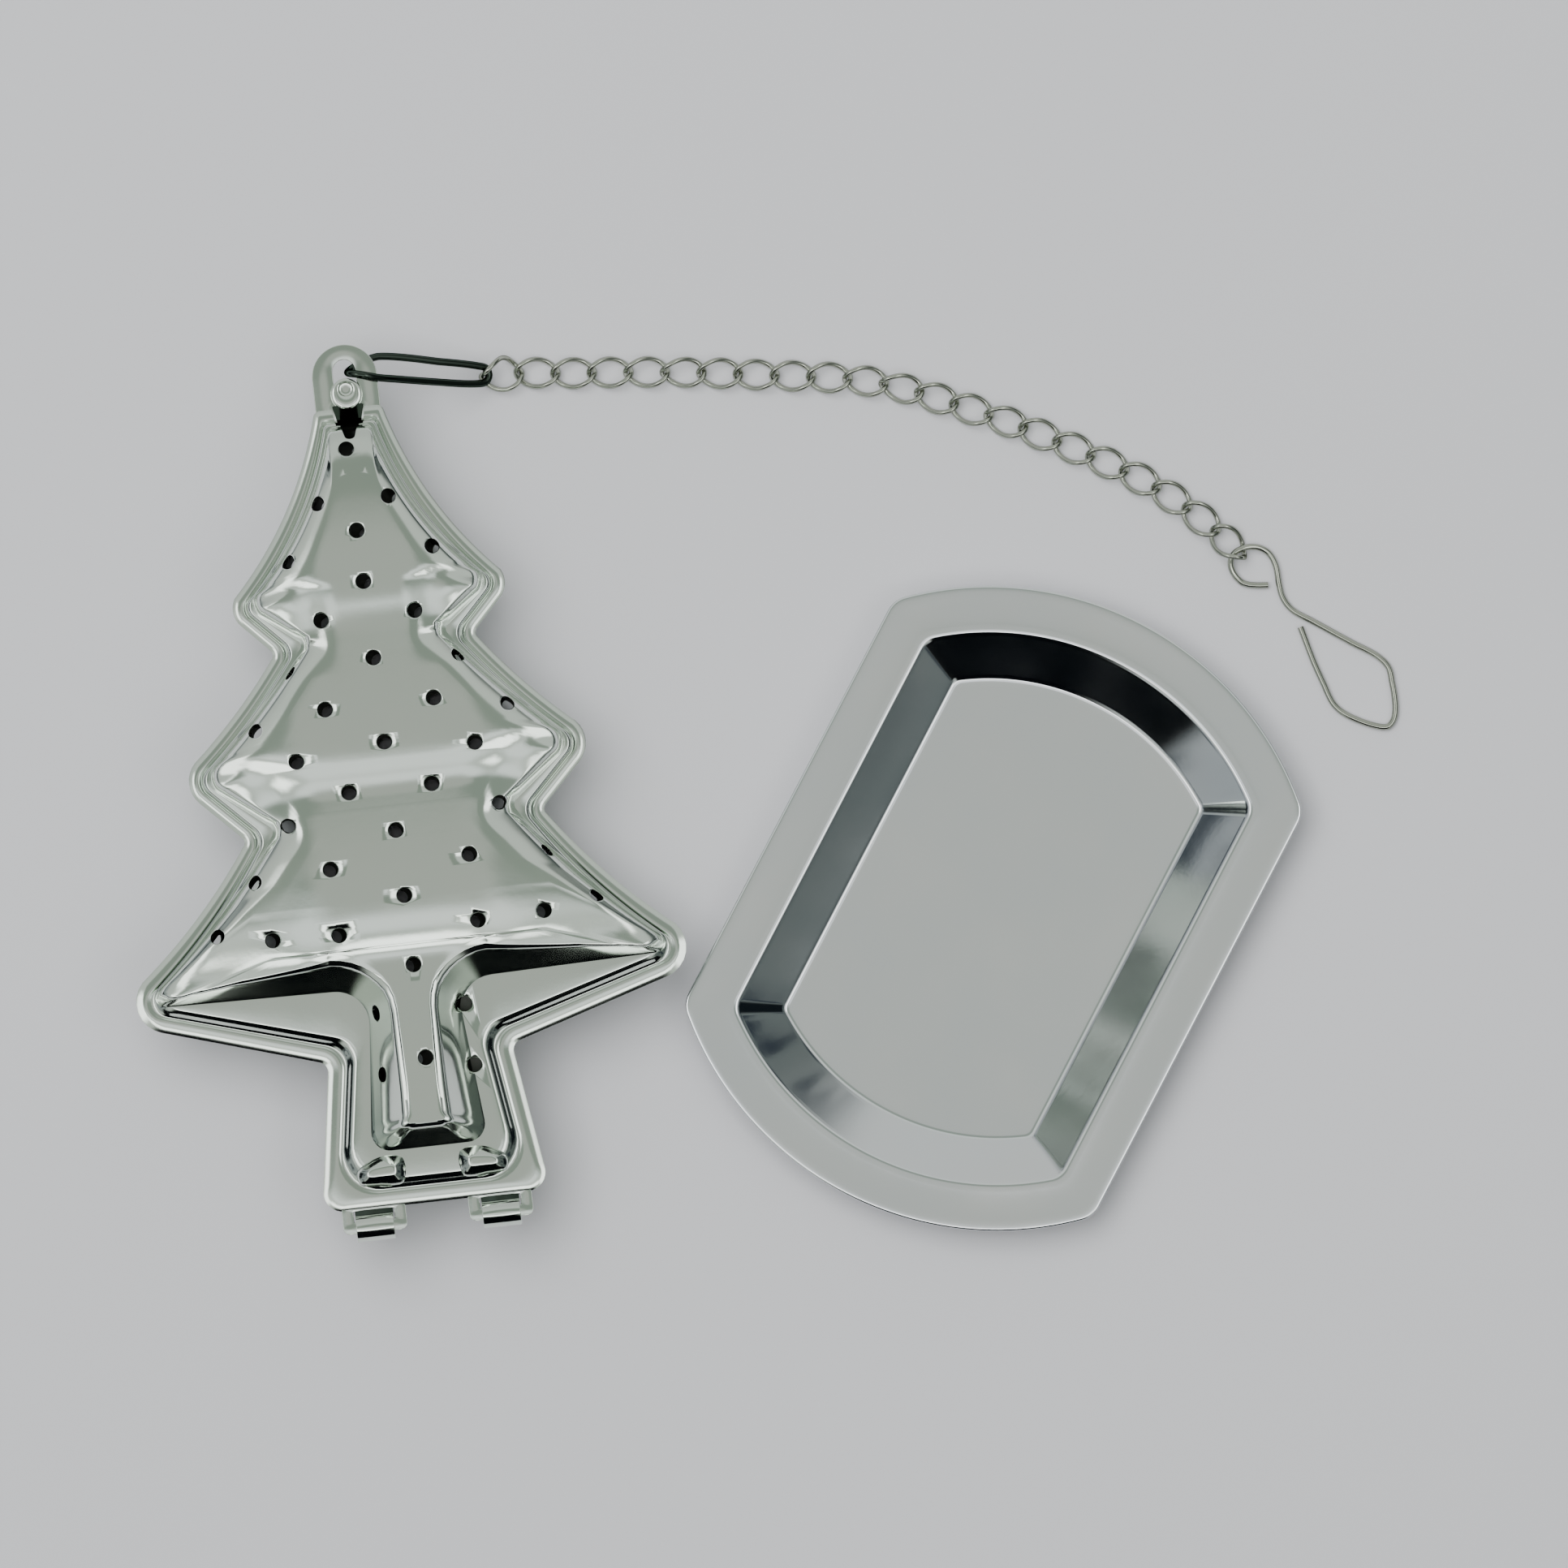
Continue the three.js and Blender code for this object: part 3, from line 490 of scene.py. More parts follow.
def shell_sheet():
    """One drawn shell, dome up, as a single sheet: flange, step, ledge, dome wall and crown."""
    outline = corners_from(outline_shares)
    bm = bmesh.new()
    verts = first_ring(bm, [(*p, flange_stations[0][1]) for p in ring_of(outline)])
    for distance, height in flange_stations[1:]:
        ring = inset(outline, distance)
        bead = BEAD_GROWTH * min(1, distance / STEP_START)
        far = inset(outline, distance + bead + max(0, distance - STEP_START))
        grooved = ease(distance, 0.3, STEP_START)
        for corner, beyond, (radius, wider) in zip(ring, far, groove_shares + groove_shares[::-1]):
            corner[0] = corner[0].lerp(beyond[0], wider)
            corner[1] += (radius - corner[1]) * grooved
        verts = grow_ring(bm, verts, [(*p, height) for p in ring_of(ring)])
    foot = ring_of(corners_from(foot_shares))
    crown = ring_of(corners_from(crown_shares))
    walls = []
    for i, (low, top, shares) in enumerate(zip(foot, crown, around(wall_shares))):
        side, front, plain, even_front, dip, soft = shares
        along = (foot[(i + 1) % len(foot)] - foot[i - 1]).normalized()
        slant = (top - low).normalized().dot(Vector((along.y, -along.x)))
        facing = ease(-along.x, 0.1, 0.5)
        whole = (top - low).length
        reach = min((side + (front - side) * facing) / max(LEAST_SLANT, slant), MOST_WALL_SHARE * whole)
        evenness = plain + (even_front - plain) * facing
        dip *= 1 - (1 - FRONT_DIP_SHARE) * facing
        walls.append((low, (top - low).normalized(), whole, reach, evenness, dip, soft))
    verts = grow_ring(bm, verts, [(*p, LEDGE_HEIGHT + 0.01) for p in foot])
    for share, steep, even in wall_rise_shares[1:]:
        places = []
        for low, inward, _, reach, evenness, dip, _ in walls:
            x, y = low + inward * reach * share
            rise = roof(x, y) - dip - LEDGE_HEIGHT
            places.append((x, y, LEDGE_HEIGHT + rise * (steep + (even - steep) * evenness)))
        verts = grow_ring(bm, verts, places)
    for k in range(1, SHOULDER_STEPS + 1):
        places = []
        for low, inward, whole, reach, _, dip, soft in walls:
            gone = (whole - reach) * (k / SHOULDER_STEPS) ** 1.5
            x, y = low + inward * (reach + gone)
            left = max(0, 1 - gone / min(soft, whole - reach))
            places.append((x, y, roof(x, y) - dip * left * left))
        verts = grow_ring(bm, verts, places)
    half = len(verts) // 2
    chains = [verts[:half], verts[half:]]
    sides = []
    for chain in chains:
        sides += [bm.edges.get((chain[i], chain[i + 1])) for i in range(half - 1)]
    bmesh.ops.bridge_loops(bm, edges=sides)
    opposite = set(chains[1])
    rungs = []
    for vert in chains[0]:
        rungs += [e for e in vert.link_edges if e.other_vert(vert) in opposite]
    cut = bmesh.ops.subdivide_edges(bm, edges=list(set(rungs)), cuts=CROWN_CUTS, use_grid_fill=True)
    for vert in {v for v in cut["geom_inner"] if isinstance(v, bmesh.types.BMVert)}:
        vert.co.z = roof(*vert.co.xy)
    soft = [v for v in bm.verts if v.co.z > LEDGE_HEIGHT + SMOOTH_ABOVE and not v.is_boundary]
    for _ in range(SMOOTH_PASSES):
        bmesh.ops.smooth_vert(bm, verts=soft, factor=0.5, use_axis_z=True)
    face_up(bm)
    return bm


def face_up(bm):
    """Turns the faces of an open sheet so that most of them look up."""
    bmesh.ops.recalc_face_normals(bm, faces=bm.faces)
    if sum(f.normal.z * f.calc_area() for f in bm.faces) < 0:
        bmesh.ops.reverse_faces(bm, faces=bm.faces)


def finish_mesh(bm, name, matrix, smooth_deg=SMOOTH_DEG):
    """Turns a bmesh in millimetres into a placed object in metres."""
    bmesh.ops.transform(bm, matrix=Matrix.Scale(MM, 4) @ matrix, verts=bm.verts)
    mesh = bpy.data.meshes.new(name)
    bm.to_mesh(mesh)
    bm.free()
    piece = bpy.data.objects.new(name, mesh)
    bpy.context.scene.collection.objects.link(piece)
    mesh.shade_smooth()
    mesh.set_sharp_from_angle(angle=math.radians(smooth_deg))
    return piece


def bake(piece):
    """Applies the piece's modifiers."""
    graph = bpy.context.evaluated_depsgraph_get()
    mesh = bpy.data.meshes.new_from_object(piece.evaluated_get(graph))
    piece.modifiers.clear()
    piece.data = mesh


def hole_places():
    """Where the 41 holes are, each a little further to the right the lower it is."""
    def skewed(across, down):
        shift = (down - HOLE_SKEW_CENTRE) * TREE_LENGTH * HOLE_SKEW_SHARE
        return across * TREE_HALF_WIDTH + shift, -down * TREE_LENGTH

    places = [skewed(0, down) for down in column_shares]
    for across, down in pair_shares:
        places += [skewed(-across, down), skewed(across, down)]
    return places


# Profile of a punch: how much wider than the hole, and height over the sheet
PUNCH_LOW = -2.5
PUNCH_HIGH = 1
PROBE_HEIGHT = 30
punch_flare = [(0, PUNCH_LOW), (0, -0.14), (0.04, -0.05), (0.16, 0.04), (0.3, PUNCH_HIGH)]


def punch_set(sheet_bm):
    """One round punch for each hole, with a flare that eases the hole's rim on the outer face."""
    tree = BVHTree.FromBMesh(sheet_bm)
    punches = bmesh.new()
    profile = [(0, PUNCH_LOW)] + [(HOLE_RADIUS + wider, height) for wider, height in punch_flare]
    profile.append((0, PUNCH_HIGH))
    for x, y in hole_places():
        spot, normal, _, _ = tree.ray_cast(Vector((x, y, PROBE_HEIGHT)), Vector((0, 0, -1)))
        punch = bmesh.new()
        points = [punch.verts.new((radius, 0, height)) for radius, height in profile]
        edges = [punch.edges.new(pair) for pair in zip(points, points[1:])]
        bmesh.ops.spin(punch, geom=points + edges, axis=(0, 0, 1), steps=HOLE_SIDES,
                       angle=2 * math.pi, use_merge=True)
        bmesh.ops.remove_doubles(punch, verts=punch.verts, dist=0.001)
        bmesh.ops.recalc_face_normals(punch, faces=punch.faces)
        lean = Vector((0, 0, 1)).rotation_difference((normal + Vector((0, 0, 1))).normalized())
        place = Matrix.Translation(spot) @ lean.to_matrix().to_4x4()
        bmesh.ops.transform(punch, matrix=place, verts=punch.verts)
        part = bpy.data.meshes.new("punch")
        punch.to_mesh(part)
        punch.free()
        punches.from_mesh(part)
        bpy.data.meshes.remove(part)
    return punches


# Right side of the opening behind the latch tongue, from the tongue down, and its round end
lance_side = [(1.7, 0.6), (1.7, 0), (1.4, -1.72), (0.96, -1.76), (0.55, -3.1)]
LANCE_END_DEPTH = 0.35
LANCE_FLOOR = -1
LANCE_TALL = 12


def lance_punch():
    """The opening behind the latch tongue: wide over the ramp, then tapered."""
    end_half, end_y = lance_side[-1]
    outline = list(lance_side)
    for k in range(1, 8):
        angle = math.pi * k / 8
        outline.append((end_half * math.cos(angle), end_y - LANCE_END_DEPTH * math.sin(angle)))
    outline += [(-x, y) for x, y in reversed(lance_side)]
    bm = bmesh.new()
    face = bm.faces.new([bm.verts.new((x, y, LANCE_FLOOR)) for x, y in outline])
    grown = bmesh.ops.extrude_face_region(bm, geom=[face], use_keep_orig=True)["geom"]
    top = [g for g in grown if isinstance(g, bmesh.types.BMVert)]
    bmesh.ops.translate(bm, verts=top, vec=(0, 0, LANCE_TALL))
    bmesh.ops.recalc_face_normals(bm, faces=bm.faces)
    return bm


def drawn_shell(name, matrix, lanced):
    """A shell with its thickness and its holes cut; its inside face is the dull steel painted dark as
    shade.
    """
    sheet = shell_sheet()
    tools = [finish_mesh(punch_set(sheet), "punches", matrix)]
    if lanced:
        tools.append(finish_mesh(lance_punch(), "lance", matrix))
    piece = finish_mesh(sheet, name, matrix)
    piece.data.materials.append(shell_steel)
    piece.data.materials.append(dull_steel_painted_shade)
    wall = piece.modifiers.new("sheet", "SOLIDIFY")
    wall.thickness = SHELL_SHEET * MM
    wall.offset = -1
    wall.use_even_offset = False
    # The inside faces take the dark colour: painted shade inside the closed shell
    wall.material_offset = 1
    for tool in tools:
        cut = piece.modifiers.new("cut", "BOOLEAN")
        cut.operation = "DIFFERENCE"
        cut.object = tool
        cut.solver = "MANIFOLD"
    bake(piece)
    for tool in tools:
        bpy.data.objects.remove(tool)
    piece.data.shade_smooth()
    piece.data.set_sharp_from_angle(angle=math.radians(SMOOTH_DEG))
    return piece


tree_place = Matrix.Translation(TREE_APEX) @ Matrix.Rotation(TREE_TURN, 4, "Z")
upper_place = tree_place @ Matrix.Translation((0, 0, SEAM_HEIGHT + SEAM_GAP / 2))
lower_place = (tree_place @ Matrix.Translation((0, 0, SEAM_HEIGHT - SEAM_GAP / 2))
               @ Matrix.Rotation(math.pi, 4, "Y"))
upper = drawn_shell("upper_shell_skin", upper_place, True)
lower = drawn_shell("lower_shell_skin", lower_place, False)


def smooth_route(points, closed, density):
    """A centripetal Catmull-Rom curve through the points, as the part's source has it."""
    count = len(points)
    spans = count if closed else count - 1
    route = []
    for i in range(spans):
        if closed:
            four = [points[(i + k - 1) % count] for k in range(4)]
        else:
            first = points[i - 1] if i else 2 * points[0] - points[1]
            last = points[i + 2] if i + 2 < count else 2 * points[-1] - points[-2]
            four = [first, points[i], points[i + 1], last]
        knots = [0]
        for a, b in zip(four, four[1:]):
            knots.append(knots[-1] + max(1e-6, math.sqrt((b - a).length)))
        for k in range(density):
            t = knots[1] + (knots[2] - knots[1]) * k / density
            level = four
            for order in range(1, 4):
                level = [
                    (level[j] * (knots[j + order] - t) + level[j + 1] * (t - knots[j]))
                    / (knots[j + order] - knots[j])
                    for j in range(4 - order)
                ]
            route.append(level[0])
    if not closed:
        route.append(points[-1])
    return route


# Pressed ribs at the foot of the trunk: corners of the base, ends of the crest, and the rise between
# them as share of the way and height
gusset_corners = [(2.9, -76.9), (5.4, -76.6), (7.7, -77.9), (7.5, -79.3), (5.4, -79.6), (3.1, -79.5)]
GUSSET_INNER = Vector((4.3, -78.1))
GUSSET_OUTER = Vector((6.1, -78.2))
gusset_rise_shares = [(0.04, 0.02), (0.3, 0.35), (0.6, 0.72), (0.68, 0.78), (0.8, 0.8), (0.95, 0.8)]
GUSSET_SUNK = 0.1


def gusset(name, side, place):
    """A small pressed rib in the corner between the trunk's end and the step."""
    line = smooth_route([Vector((x, y, 0)) for x, y in gusset_corners], True, 6)
    bm = bmesh.new()
    verts = first_ring(bm, [(p.x, p.y, LEDGE_HEIGHT - GUSSET_SUNK) for p in line])
    bm.faces.new(verts)
    for share, height in gusset_rise_shares:
        places = []
        for p in line:
            along = max(0, min(1, (p.x - GUSSET_INNER.x) / (GUSSET_OUTER.x - GUSSET_INNER.x)))
            x, y = Vector((p.x, p.y)).lerp(GUSSET_INNER.lerp(GUSSET_OUTER, along), share)
            places.append((x, y, LEDGE_HEIGHT + height))
        verts = grow_ring(bm, verts, places)
    bm.faces.new(verts)
    bmesh.ops.scale(bm, vec=(side, 1, 1), verts=bm.verts)
    bmesh.ops.recalc_face_normals(bm, faces=bm.faces)
    return finish_mesh(bm, name, place, 60)


# Latch disc, latch tongue and hinge tabs: flat plates with an opening
def rounded_box(left, right, low, high, radius, steps=8):
    """An oblong with round corners, anticlockwise."""
    outline = []
    corners = ((right, low, -90), (right, high, 0), (left, high, 90), (left, low, 180))
    for corner_x, corner_y, start in corners:
        centre_x = corner_x - radius if corner_x == right else corner_x + radius
        centre_y = corner_y - radius if corner_y == high else corner_y + radius
        for k in range(steps + 1):
            angle = math.radians(start + 90 * k / steps)
            x = centre_x + radius * math.cos(angle)
            outline.append(Vector((x, centre_y + radius * math.sin(angle))))
    return outline


def spokes(outline, centre, count=96):
    """Where even spokes from a centre meet an outline."""
    places = []
    for k in range(count):
        angle = 2 * math.pi * (k + 0.5) / count
        ahead = Vector((math.cos(angle), math.sin(angle)))
        best = 0
        for a, b in zip(outline, outline[1:] + outline[:1]):
            edge = b - a
            across = ahead.cross(edge)
            if abs(across) < 1e-9:
                continue
            reach = (a - centre).cross(edge) / across
            along = (a - centre).cross(ahead) / across
            if -1e-6 <= along <= 1 + 1e-6:
                best = max(best, reach)
        places.append(centre + ahead * best)
    return places


def ringed_sheet(rings):
    """A sheet grown ring by ring, each ring a list of places and a height."""
    bm = bmesh.new()
    places, height = rings[0]
    verts = first_ring(bm, [(p.x, p.y, height) for p in places])
    for places, height in rings[1:]:
        verts = grow_ring(bm, verts, [(p.x, p.y, height) for p in places])
    return bm, verts


def add_thickness(piece, thickness, edge=0.07, offset=-1):
    """Gives a sheet its thickness, and rounds its edges unless edge is 0."""
    wall = piece.modifiers.new("sheet", "SOLIDIFY")
    wall.thickness = thickness * MM
    wall.offset = offset
    if edge:
        rounding = piece.modifiers.new("edges", "BEVEL")
        rounding.width = edge * MM
        rounding.segments = 3
        rounding.limit_method = "ANGLE"
        rounding.angle_limit = math.radians(50)
    bake(piece)
    piece.data.shade_smooth()
    piece.data.set_sharp_from_angle(angle=math.radians(SMOOTH_DEG))


DISC_RADIUS = 3.35
DISC_REACH = 3.2
OPENING_HALF_WIDTH = 1.17
HINGE_LINE = -83.65
BAR_WIDTH = 1.2
TAB_WIDTH = 6.6
TAB_RADIUS = 0.7
TAB_ROOT = 0.6
TAB_SPOKES = 160
SLOT_TOP = -81.9
SLOT_CENTRE = -82.48
SLOT_RADIUS = 0.08
SLOT_PLAY = 0.15
CURL_WIDTH = 3.9
CURL_RADIUS = 1.225
CURL_DROP = -0.75
CURL_LIFT = 0.375
CURL_END_DEG = 150
CURL_STEPS = 30
curl_leaf = [3.2, 2.4, 1.6]
COVERED_FROM = 1.2
HINGE_OFFSET = 6.5
PLATE_TOP = 0.445
DISC_ROOT = -1.4
OPENING_LOW = 0.45
OPENING_HIGH = 5.0
OPENING_CENTRE = Vector((0, 2.72))
OPENING_RADIUS = 1.169


def latch_disc():
    """The lower shell's disc at the tip, with its stadium-shaped opening."""
    side = [Vector((DISC_RADIUS, DISC_ROOT)), Vector((DISC_RADIUS, DISC_REACH))]
    arc = []
    for k in range(1, 40):
        angle = math.pi * k / 40
        arc.append(Vector((0, DISC_REACH)) + DISC_RADIUS * Vector((math.cos(angle), math.sin(angle))))
    outline = side + arc + [Vector((-p.x, p.y)) for p in reversed(side)]
    opening = rounded_box(-OPENING_HALF_WIDTH, OPENING_HALF_WIDTH, OPENING_LOW, OPENING_HIGH,
                          OPENING_RADIUS, steps=12)
    rings = [(spokes(ring, OPENING_CENTRE), PLATE_TOP) for ring in (outline, opening)]
    bm, _ = ringed_sheet(rings)
    face_up(bm)
    place = upper_place @ Matrix.Translation((0, 0, -SEAM_GAP - SHELL_SHEET))
    piece = finish_mesh(bm, "latch_disc", place)
    add_thickness(piece, SHELL_SHEET)
    return piece


# Latch tongue, and the dimple in it as radius and height
TONGUE_SHEET = 0.4
TONGUE_CENTRE = Vector((0, 1.8))
DIMPLE_CENTRE = Vector((0, 1.95))
TONGUE_SPOKES = 96
dimple_rings = [(0.8, 0.49), (0.76, 0.46), (0.72, 0.36), (0.69, 0.26), (0.63, 0.22), (0.3, 0.215)]


def latch_tongue():
    """The upper shell's tongue over the disc: a domed rim around a round flat-bottomed dimple."""
    rim = rounded_box(-1.5, 1.5, -0.1, 3.08, 1.49)
    inner = rounded_box(-1.2, 1.2, 0.2, 2.84, 1.19)
    rings = [(spokes(rim, TONGUE_CENTRE), 0.4), (spokes(inner, TONGUE_CENTRE), 0.48)]
    for radius, height in dimple_rings:
        ring = []
        for k in range(TONGUE_SPOKES):
            angle = 2 * math.pi * (k + 0.5) / TONGUE_SPOKES
            ring.append(DIMPLE_CENTRE + radius * Vector((math.cos(angle), math.sin(angle))))
        rings.append((ring, height))
    bm, verts = ringed_sheet(rings)
    bm.faces.new(verts)
    face_up(bm)
    piece = finish_mesh(bm, "latch_tongue", upper_place)
    add_thickness(piece, TONGUE_SHEET)
    return piece


def bent_strip(stations):
    """A strip bent along its length: each station is half its width, and where it is along and up."""
    bm = bmesh.new()
    half, y, z = stations[0]
    edge = bm.edges.new([bm.verts.new((-half, y, z)), bm.verts.new((half, y, z))])
    for half, y, z in stations[1:]:
        grown = bmesh.ops.extrude_edge_only(bm, edges=[edge])["geom"]
        fresh = [v for v in grown if isinstance(v, bmesh.types.BMVert)]
        for vert in fresh:
            vert.co = (math.copysign(half, vert.co.x), y, z)
        edge = bm.edges.get(fresh)
    return bm


ramp_stations = [(1.5, 0.3, 0.42), (1.5, 0, 0.3), (1.35, -0.8, -0.02), (1.2, -1.65, -0.36)]
RAMP_SHEET = 0.1


def tongue_ramp():
    """The sloping steel behind the tongue, down into the lanced opening."""
    bm = bent_strip(ramp_stations)
    face_up(bm)
    piece = finish_mesh(bm, "tongue_ramp", upper_place)
    # The ramp takes the dark steel: painted shade, as it faces down into the dark
    piece.data.materials.append(dark_steel_painted_shade)
    add_thickness(piece, RAMP_SHEET, 0)
    return piece


def hinge_tab(name, middle):
    """A tab of the upper shell, with a slot and an outer bar."""
    half = TAB_WIDTH / 2
    low = HINGE_LINE - BAR_WIDTH / 2
    outline = rounded_box(middle - half, middle + half, low, TAB_ROOT - TREE_LENGTH, TAB_RADIUS)
    half = CURL_WIDTH / 2 + SLOT_PLAY
    low = HINGE_LINE + BAR_WIDTH / 2
    opening = rounded_box(middle - half, middle + half, low, SLOT_TOP, SLOT_RADIUS, steps=3)
    centre = Vector((middle, SLOT_CENTRE))
    rings = [(spokes(ring, centre, TAB_SPOKES), PLATE_TOP) for ring in (outline, opening)]
    bm, _ = ringed_sheet(rings)
    face_up(bm)
    piece = finish_mesh(bm, name, upper_place)
    add_thickness(piece, SHELL_SHEET, 0.06)
    return piece


def hinge_curl(name, middle):
    """A tongue of the lower shell, curled under and over the outer bar of the slotted tab."""
    half = CURL_WIDTH / 2
    stations = [(half, y, CURL_DROP) for y in curl_leaf]
    start = math.pi + math.asin(-CURL_DROP / CURL_RADIUS)
    finish = 2 * math.pi + math.radians(CURL_END_DEG)
    for k in range(CURL_STEPS + 1):
        angle = start + (finish - start) * k / CURL_STEPS
        stations.append((half, -CURL_RADIUS * math.cos(angle), CURL_RADIUS * math.sin(angle)))
    bm = bent_strip(stations)
    # The leaf under the slot takes the dark steel: painted shade in the seam
    for face in bm.faces:
        face.material_index = 1 if face.calc_center_median().y > COVERED_FROM else 0
    bmesh.ops.recalc_face_normals(bm, faces=bm.faces)
    place = tree_place @ Matrix.Translation((middle, HINGE_LINE, SEAM_HEIGHT + CURL_LIFT))
    piece = finish_mesh(bm, name, place)
    piece.data.materials.append(shell_steel)
    piece.data.materials.append(dark_steel_painted_shade)
    add_thickness(piece, SHELL_SHEET, 0.05, offset=0)
    return piece


sides = (("left", -1), ("right", 1))
upper_gussets = [gusset(f"gusset_{word}", side, upper_place) for word, side in sides]
lower_gussets = [gusset(f"lower_gusset_{word}", side, lower_place) for word, side in sides]
upper_pieces = [upper, latch_tongue(), tongue_ramp()]
upper_pieces += [hinge_tab(f"hinge_tab_{word}", side * HINGE_OFFSET) for word, side in sides]
lower_pieces = [lower, latch_disc()]
lower_pieces += [hinge_curl(f"hinge_curl_{word}", side * HINGE_OFFSET) for word, side in sides]


# Wire work: the bail, the links of the chain and the hook
def wire(name, route, closed, diameter, sides=6):
    """A drawn round wire along a route, as a mesh."""
    curve = bpy.data.curves.new(name, "CURVE")
    curve.dimensions = "3D"
    curve.bevel_depth = diameter / 2 * MM
    curve.bevel_resolution = sides
    curve.use_fill_caps = not closed
    spline = curve.splines.new("POLY")
    spline.points.add(len(route) - 1)
    spline.use_cyclic_u = closed
    for point, place in zip(spline.points, route):
        point.co = (*(Vector(place) * MM), 1)
    holder = bpy.data.objects.new(name, curve)
    bpy.context.scene.collection.objects.link(holder)
    graph = bpy.context.evaluated_depsgraph_get()
    mesh = bpy.data.meshes.new_from_object(holder.evaluated_get(graph))
    bpy.data.objects.remove(holder)
    mesh.shade_smooth()
    mesh.set_sharp_from_angle(angle=math.radians(60))
    piece = bpy.data.objects.new(name, mesh)
    bpy.context.scene.collection.objects.link(piece)
    return piece


# Sizes of the wires and links, as in the part's source. The links are drawn a touch thicker, as the
# photograph shows them, and the hook a touch thinner, so that it stays inside the part's box.
BAIL_WIRE = 0.78
LINK_WIRE = 0.46
DRAWN_LINK_WIRE = 0.5
LINK_PLAY = 0.17
LINK_LENGTH = 4.85
LINK_WIDTH = 3.3
FIRST_LINK_WIDTH = 3.8
LINK_LEAN_DEG = 43
END_LINK_LEAN_DEG = 72
FIRST_DIP = math.radians(-20)
HOOK_WIRE = 0.7
DRAWN_HOOK_WIRE = 0.63
HOOK_SPAN = 18
WIRE_GAP = 0.15
LINK_POINTS = 56
FIRST_BAIL_TIP = (14.7, 0.48)
EYE_CLEARANCE = 0.19
ARM_SPREAD = 1.8

# Way each link points along the table, and how far it is rolled over
link_headings_deg = [
    6, -2, 1, 1, 0, -1, -2, -2, -2, -3, -8,
    -14, -18, -18, -20, -22, -23, -24, -28, -33, -39, -43,
]
link_rolls_deg = [0, 0, 0, 0, 8, 18, 8, 0, 0, 0, 10, 22, 10, 2, 14, 2, 0, 0, 0, 0, 0, 0]
LINK_COUNT = len(link_rolls_deg)

# The bail's eye around the disc's rim, its arms and the hook: run, place behind, and lift
eye_shares = [
    (1.8, 0.74, -0.97),
    (0.65, 0.56, -1.06),
    (-0.52, 0.3, -1.08),
    (-1.52, 0.04, -0.74),
    (-1.81, -0.04, -0.1),
    (-1.55, -0.08, 0.52),
    (-0.78, -0.14, 0.95),
    (0.39, -0.22, 1),
    (1.42, -0.25, 0.9),
    (2.6, -0.27, 0.72),
]
arm_shares = [
    (0.6, -0.48, 0.3),
    (0.92, -0.5, 0.03),
    (0.98, -0.37, 0),
    (1, 0, 0),
    (0.98, 0.37, 0),
    (0.92, 0.5, -0.03),
    (0.6, 0.72, -0.3),
]
hook_shares = [
    (0.163, -0.182, 0.1),
    (0.086, -0.183, 0.1),
    (0.017, -0.169, 0.1),
    (-0.038, -0.109, 0.4),
    (-0.052, -0.054, 0.75),
    (-0.034, -0.004, 1.1),
    (0.016, 0.027, 1.1),
    (0.096, 0.035, 0.65),
    (0.165, 0.002, 0.3),
    (0.207, -0.072, 0.15),
    (0.221, -0.151, 0.1),
    (0.239, -0.234, 0.1),
    (0.272, -0.294, 0.1),
    (0.318, -0.336, 0.1),
    (0.406, -0.382, 0.1),
    (0.54, -0.456, 0.1),
    (0.67, -0.526, 0.1),
    (0.785, -0.586, 0.1),
    (0.85, -0.651, 0.1),
    (0.869, -0.729, 0.1),
    (0.888, -0.845, 0.1),
    (0.884, -0.937, 0.1),
    (0.85, -0.989, 0.1),
    (0.785, -0.988, 0.1),
    (0.67, -0.951, 0.1),
    (0.582, -0.905, 0.1),
    (0.531, -0.854, 0.1),
    (0.485, -0.757, 0.1),
    (0.424, -0.623, 0.1),
    (0.369, -0.479, 0.1),
    (0.347, -0.422, 0.1),
]

disc_centre = tree_place @ Vector((0, DISC_REACH, 0))
link_half_length = (LINK_LENGTH - LINK_WIRE) / 2
link_half_pitch = link_half_length - (LINK_WIRE + LINK_PLAY) / 2
bail_overlap = (LINK_WIRE + BAIL_WIRE) / 2 + LINK_PLAY


def link_point(index, t):
    """A place on a twisted curb link, with t from 0 to 1 around it."""
    width = LINK_WIDTH if index else FIRST_LINK_WIDTH
    start_lean = LINK_LEAN_DEG if index else END_LINK_LEAN_DEG
    end_lean = END_LINK_LEAN_DEG if index == LINK_COUNT - 1 else LINK_LEAN_DEG
    middle_lean = math.radians(link_rolls_deg[index] + (start_lean - end_lean) / 2)
    twist = math.radians((start_lean + end_lean) / 2)
    angle = 2 * math.pi * t
    lean = middle_lean - twist * math.cos(angle)
    side = (width - LINK_WIRE) / 2 * math.sin(angle)
    return Vector((link_half_length * math.cos(angle), side * math.cos(lean), side * math.sin(lean)))


def link_heights():
    """The height of each link's middle: on the table, and never far from its neighbours'."""
    least = []
    for index in range(LINK_COUNT):
        lowest = min(link_point(index, k / 72).z for k in range(73))
        least.append(LINK_WIRE / 2 - lowest + WIRE_GAP / 10)
    levels = []
    for index in range(LINK_COUNT):
        levels.append(max(least[k] - abs(index - k) * LINK_PLAY / 2 for k in range(1, LINK_COUNT)))
    return levels


heights = link_heights()
first_reach = link_half_length + link_half_pitch - bail_overlap
bail_tip = Vector((*FIRST_BAIL_TIP, heights[1] - math.sin(FIRST_DIP) * first_reach))
rim_middle = (OPENING_HALF_WIDTH + DISC_RADIUS) / 2
bail_axis = Vector((rim_middle, 0, SEAM_HEIGHT - SEAM_GAP / 2 - SHELL_SHEET / 2))


